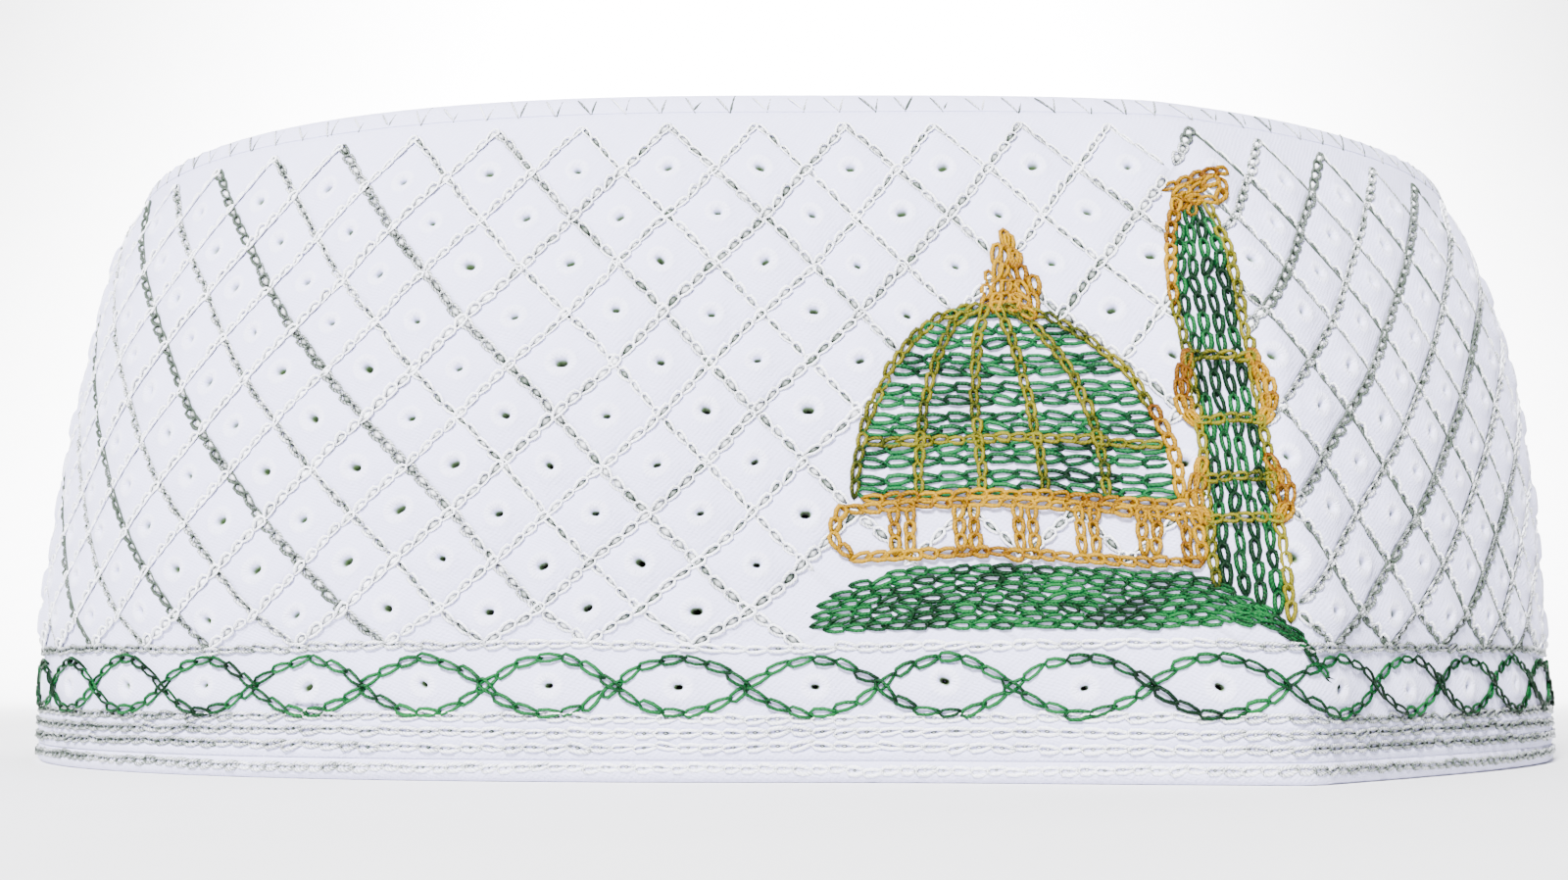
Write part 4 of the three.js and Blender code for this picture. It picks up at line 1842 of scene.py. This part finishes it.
    def build(self, stitcher: Stitcher, effects: Effects) -> None:
        """Works the figures colour by colour.

        Args:
            stitcher: What works the stitches.
            effects: The shared effects.
        """
        green = Thread.GREEN.make(effects, "figure_green_thread")
        threads = (Thread.PALE_GREEN, Thread.GOLD, Thread.OLIVE)
        pale, gold, olive = (thread.make(effects) for thread in threads)
        middle, turret, twice = self.figures.dome_middle, self.turret_from, self.twice
        ring = [(middle + 14, 32.2), (middle, 32.7), (middle - 13.6, 31.9)]
        outlines = twice(self.dome_ribs(1.0) + self.dome_ribs(-1.0, foot=0.45), 0.12)
        outlines += twice(self.dome_ribs(-0.56, -0.17, 0.23, 0.62), 0.25) + twice([ring], 0.22, 0.7)
        outlines += twice([self.minaret_line(1, 18.2, turret), self.minaret_line(-1, 15.2, 57.0)], 0.12, 0.6)
        outlines += twice(self.bars(), 0.25)
        gilt = twice(self.drum(), 0.24, 0.7) + twice(self.balconies(), 0.15, 0.45)
        gilt += twice(self.dome_ribs(-1.0, top=0.45) + [self.minaret_line(1, turret, 57.4)], 0.12, 0.5)
        gilt += twice(self.dome_finial(), 0.1, 0.5, 2.2) + twice(self.minaret_finial(), 0.1, 0.4, 2.2)
        for name, runs, link, material in (
            ("base_green", twice(self.base(), tone=0.4), self.packed, green),
            ("minaret_green", twice(self.minaret_rows(), 0.05, 0.2), self.slim, green),
            ("dome_green", twice(self.dome_rows(), 0.02), self.long, pale),
            ("figure_olive", outlines, self.outline, olive),
            ("figure_gold", gilt, self.broad, gold),
        ):
            dress(stitcher.work(name, runs, link), material)


@dataclass
class CrownEdging:
    """The slanted stitches that sew the crown to the side."""

    form: CapForm
    pairs: int = 140
    dash: Dash = Dash(length=2.3, width=0.24, pitch=2.3, thickness=0.2)
    rise: float = 0.12
    seed: int = 5

    def build(self, stitcher: Stitcher, effects: Effects) -> None:
        """Works narrow pointed pairs of plain stitches over the seam.

        Args:
            stitcher: What works the stitches.
            effects: The shared effects.
        """
        slips = np.random.default_rng(self.seed).uniform(-0.25, 0.25, (self.pairs, 2))
        runs = []
        for index, (first, second) in enumerate(slips):
            start = index * (self.form.way_round / self.pairs) + first
            point = (start + 1.1 + second, 68.75 + 0.4 * first)
            # The white stitches are painted grey, as their shade, the first of each pair darker than the
            # second.
            runs.append(Run([(start, 70.75), point], self.rise, 0.2))
            runs.append(Run([point, (start + 2.4, 70.7)], self.rise, 0.5))
        dress(stitcher.work("crown_edging", runs, self.dash), Thread.WHITE.make(effects), "crown_cotton")


@dataclass
class ReverseStitches:
    """The reverse of the embroidery, as the inside shows it."""

    lattice: LatticeStitches
    wave: WaveBand
    embroidery: EmbroideredFigures
    depth: float = 1.86
    pale: Dash = Dash(length=1.2, width=0.30, pitch=2.2, thickness=0.16, cuts=(0.0,))
    dark: Dash = Dash(length=1.9, width=0.36, pitch=1.8, thickness=0.2)

    def build(self, stitcher: Stitcher, effects: Effects) -> None:
        """Works the plain stitches of the inner face.

        Args:
            stitcher: What works the stitches.
            effects: The shared effects.
        """
        white = Thread.WHITE.make(effects, "reverse_white_thread")
        green, gold = Thread.TRAVEL.make(effects), Thread.GOLD.make(effects, "reverse_gold_thread")
        figure, lattice = self.embroidery, self.lattice
        lines = [Run(path, family.rise, 0.85) for family in LINE_FAMILIES for path in lattice.paths(family)]
        strands = [self.wave.strand(side) for side in (1, -1)]
        for run in strands:
            run.rise = 0.0
        for name, runs, dash, material in (
            ("reverse_lattice", lines, self.pale, white),
            ("reverse_green", strands + figure.twice(figure.base()) + figure.twice(figure.dome_rows())
             + figure.twice(figure.minaret_rows()), self.dark, green),
            ("reverse_gold", figure.twice(figure.drum()) + figure.twice(figure.balconies()), self.dark, gold),
        ):
            dress(stitcher.work(name, runs, dash, self.depth), material)


# The studio

@dataclass(frozen=True)
class Lamp:
    """A soft square light that faces its target, at first the cap. Its spread is in degrees."""

    name: str
    place: Place
    size: float
    power: float
    target: Place = (0.0, 0.0, 0.035)
    spread: float = 180.0

    def hang(self) -> None:
        """Adds the light to the scene."""
        lamp = bpy.data.lights.new(self.name, "AREA")
        lamp.size, lamp.energy, lamp.spread = self.size, self.power, math.radians(self.spread)
        light = bpy.data.objects.new(self.name, lamp)
        light.location = self.place
        light.rotation_euler = (Vector(self.target) - Vector(self.place)).to_track_quat("-Z", "Y").to_euler()
        bpy.context.collection.objects.link(light)


@dataclass(frozen=True)
class Studio:
    """A pale floor that curves up behind the cap, soft lights, and the camera."""

    lens: float = 36.585
    camera_place: Place = (-1.35, -232.0, 10.0)
    pitch: float = 8.4
    floor_half: float = 1.6
    back_at: float = 0.9
    back_rise: float = 1.8
    lamps: tuple[Lamp, ...] = (
        Lamp("key_light", (-0.30, -0.95, 0.80), 0.32, 80.0),
        Lamp("fill_light", (0.9, -0.35, 0.45), 0.7, 0.3),
        Lamp("top_light", (0.0, 0.45, 1.2), 0.8, 7.0),
        Lamp("backdrop_light", (0.0, 0.25, 1.25), 0.5, 60.0, (0.0, 0.9, 0.2), 70.0),
    )

    def build(self) -> None:
        """Builds the floor, the lights and the camera."""
        self._floor()
        for lamp in self.lamps:
            lamp.hang()
        self._world()
        self._camera()

    def _pick_edge(self, floor: bpy.types.Object) -> None:
        """Opens the floor in edit mode with only that edge selected where the backdrop begins."""
        Modeller.edit(floor)
        bpy.ops.mesh.select_all(action="DESELECT")
        bpy.ops.mesh.select_mode(type="EDGE")
        Modeller.leave()
        for edge in floor.data.edges:
            ends = [floor.data.vertices[index].co for index in edge.vertices]
            edge.select = all(abs(end.y - self.back_at) < 0.01 and end.z < 0.01 for end in ends)
        bpy.ops.object.mode_set(mode="EDIT")

    def _floor(self) -> None:
        """A plane whose back edge is pulled up and rounded."""
        Modeller.start()
        middle = (0, self.back_at - self.floor_half, 0)
        bpy.ops.mesh.primitive_plane_add(size=2 * self.floor_half, location=middle)
        floor = bpy.context.object
        floor.name = "floor"
        bpy.ops.object.transform_apply(location=True)
        self._pick_edge(floor)
        bpy.ops.mesh.extrude_edges_move(TRANSFORM_OT_translate={"value": (0, 0, self.back_rise)})
        self._pick_edge(floor)
        bpy.ops.mesh.bevel(offset=0.5, segments=16)
        Modeller.leave()
        bpy.ops.object.shade_smooth()
        material, nodes = new_material("pale_paper")
        grain = nodes.noise(nodes.add("ShaderNodeTexCoord").outputs["Object"], 60.0)
        nodes.surface(nodes.blend(grain, (0.80, 0.80, 0.81), (0.84, 0.84, 0.85)), {"Roughness": 0.9})
        floor.data.materials.append(material)

    @staticmethod
    def _world() -> None:
        """A plain pale surround."""
        world = bpy.data.worlds.new("surround")
        world.use_nodes = True
        colour, strength = world.node_tree.nodes["Background"].inputs[:2]
        colour.default_value = (0.90, 0.92, 1.0, 1)
        strength.default_value = 0.16
        bpy.context.scene.world = world

    def _camera(self) -> None:
        """The camera in front of the cap, just above the floor and tilted up."""
        lens = bpy.data.cameras.new("camera")
        lens.lens, lens.sensor_width, lens.clip_start = self.lens, 36.0, 0.005
        camera = bpy.data.objects.new("camera", lens)
        camera.location = [value * MM for value in self.camera_place]
        camera.rotation_euler = (math.radians(90 + self.pitch), 0, 0)
        bpy.context.collection.objects.link(camera)
        bpy.context.scene.camera = camera


def main() -> None:
    """Builds the studio and the cap, piece by piece."""
    logging.basicConfig(level=logging.INFO, format="%(name)s %(message)s", stream=sys.stdout)
    Studio().build()
    form, effects = CapForm(), Effects()
    quilting, figures = Quilting(form), Figures(form)
    quilted = QuiltedBand(form, quilting, figures)
    stitcher = Stitcher(form, quilted.relief)

    hem_finish = ClothFinish("hem_twill", (0.65, 0.64, 0.86), crumple_depth=0.3)
    for cloth, finish, slot, node in (
        (quilted, ClothFinish("quilted_cotton", pierced=True), "band_cotton", "side_band"),
        (CrownTop(form), ClothFinish("crown_twill"), "crown_cotton", "crown_top"),
        (RimHem(form), hem_finish, "hem_cotton", "rim_hem"),
        (SideSeam(form), ClothFinish("seam_twill", crumple_depth=0.25), "seam_cotton", "side_seam"),
    ):
        piece = cloth.build()
        dress(piece, finish.make(effects), slot)
        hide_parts(node)

    lattice, wave = LatticeStitches(form, quilting, figures), WaveBand(form, quilting)
    embroidery = EmbroideredFigures(figures)
    reverse = ReverseStitches(lattice, wave, embroidery)
    for work in (lattice, RimRows(form), wave, embroidery, CrownEdging(form), reverse):
        work.build(stitcher, effects)


if __name__ == "__main__":
    main()
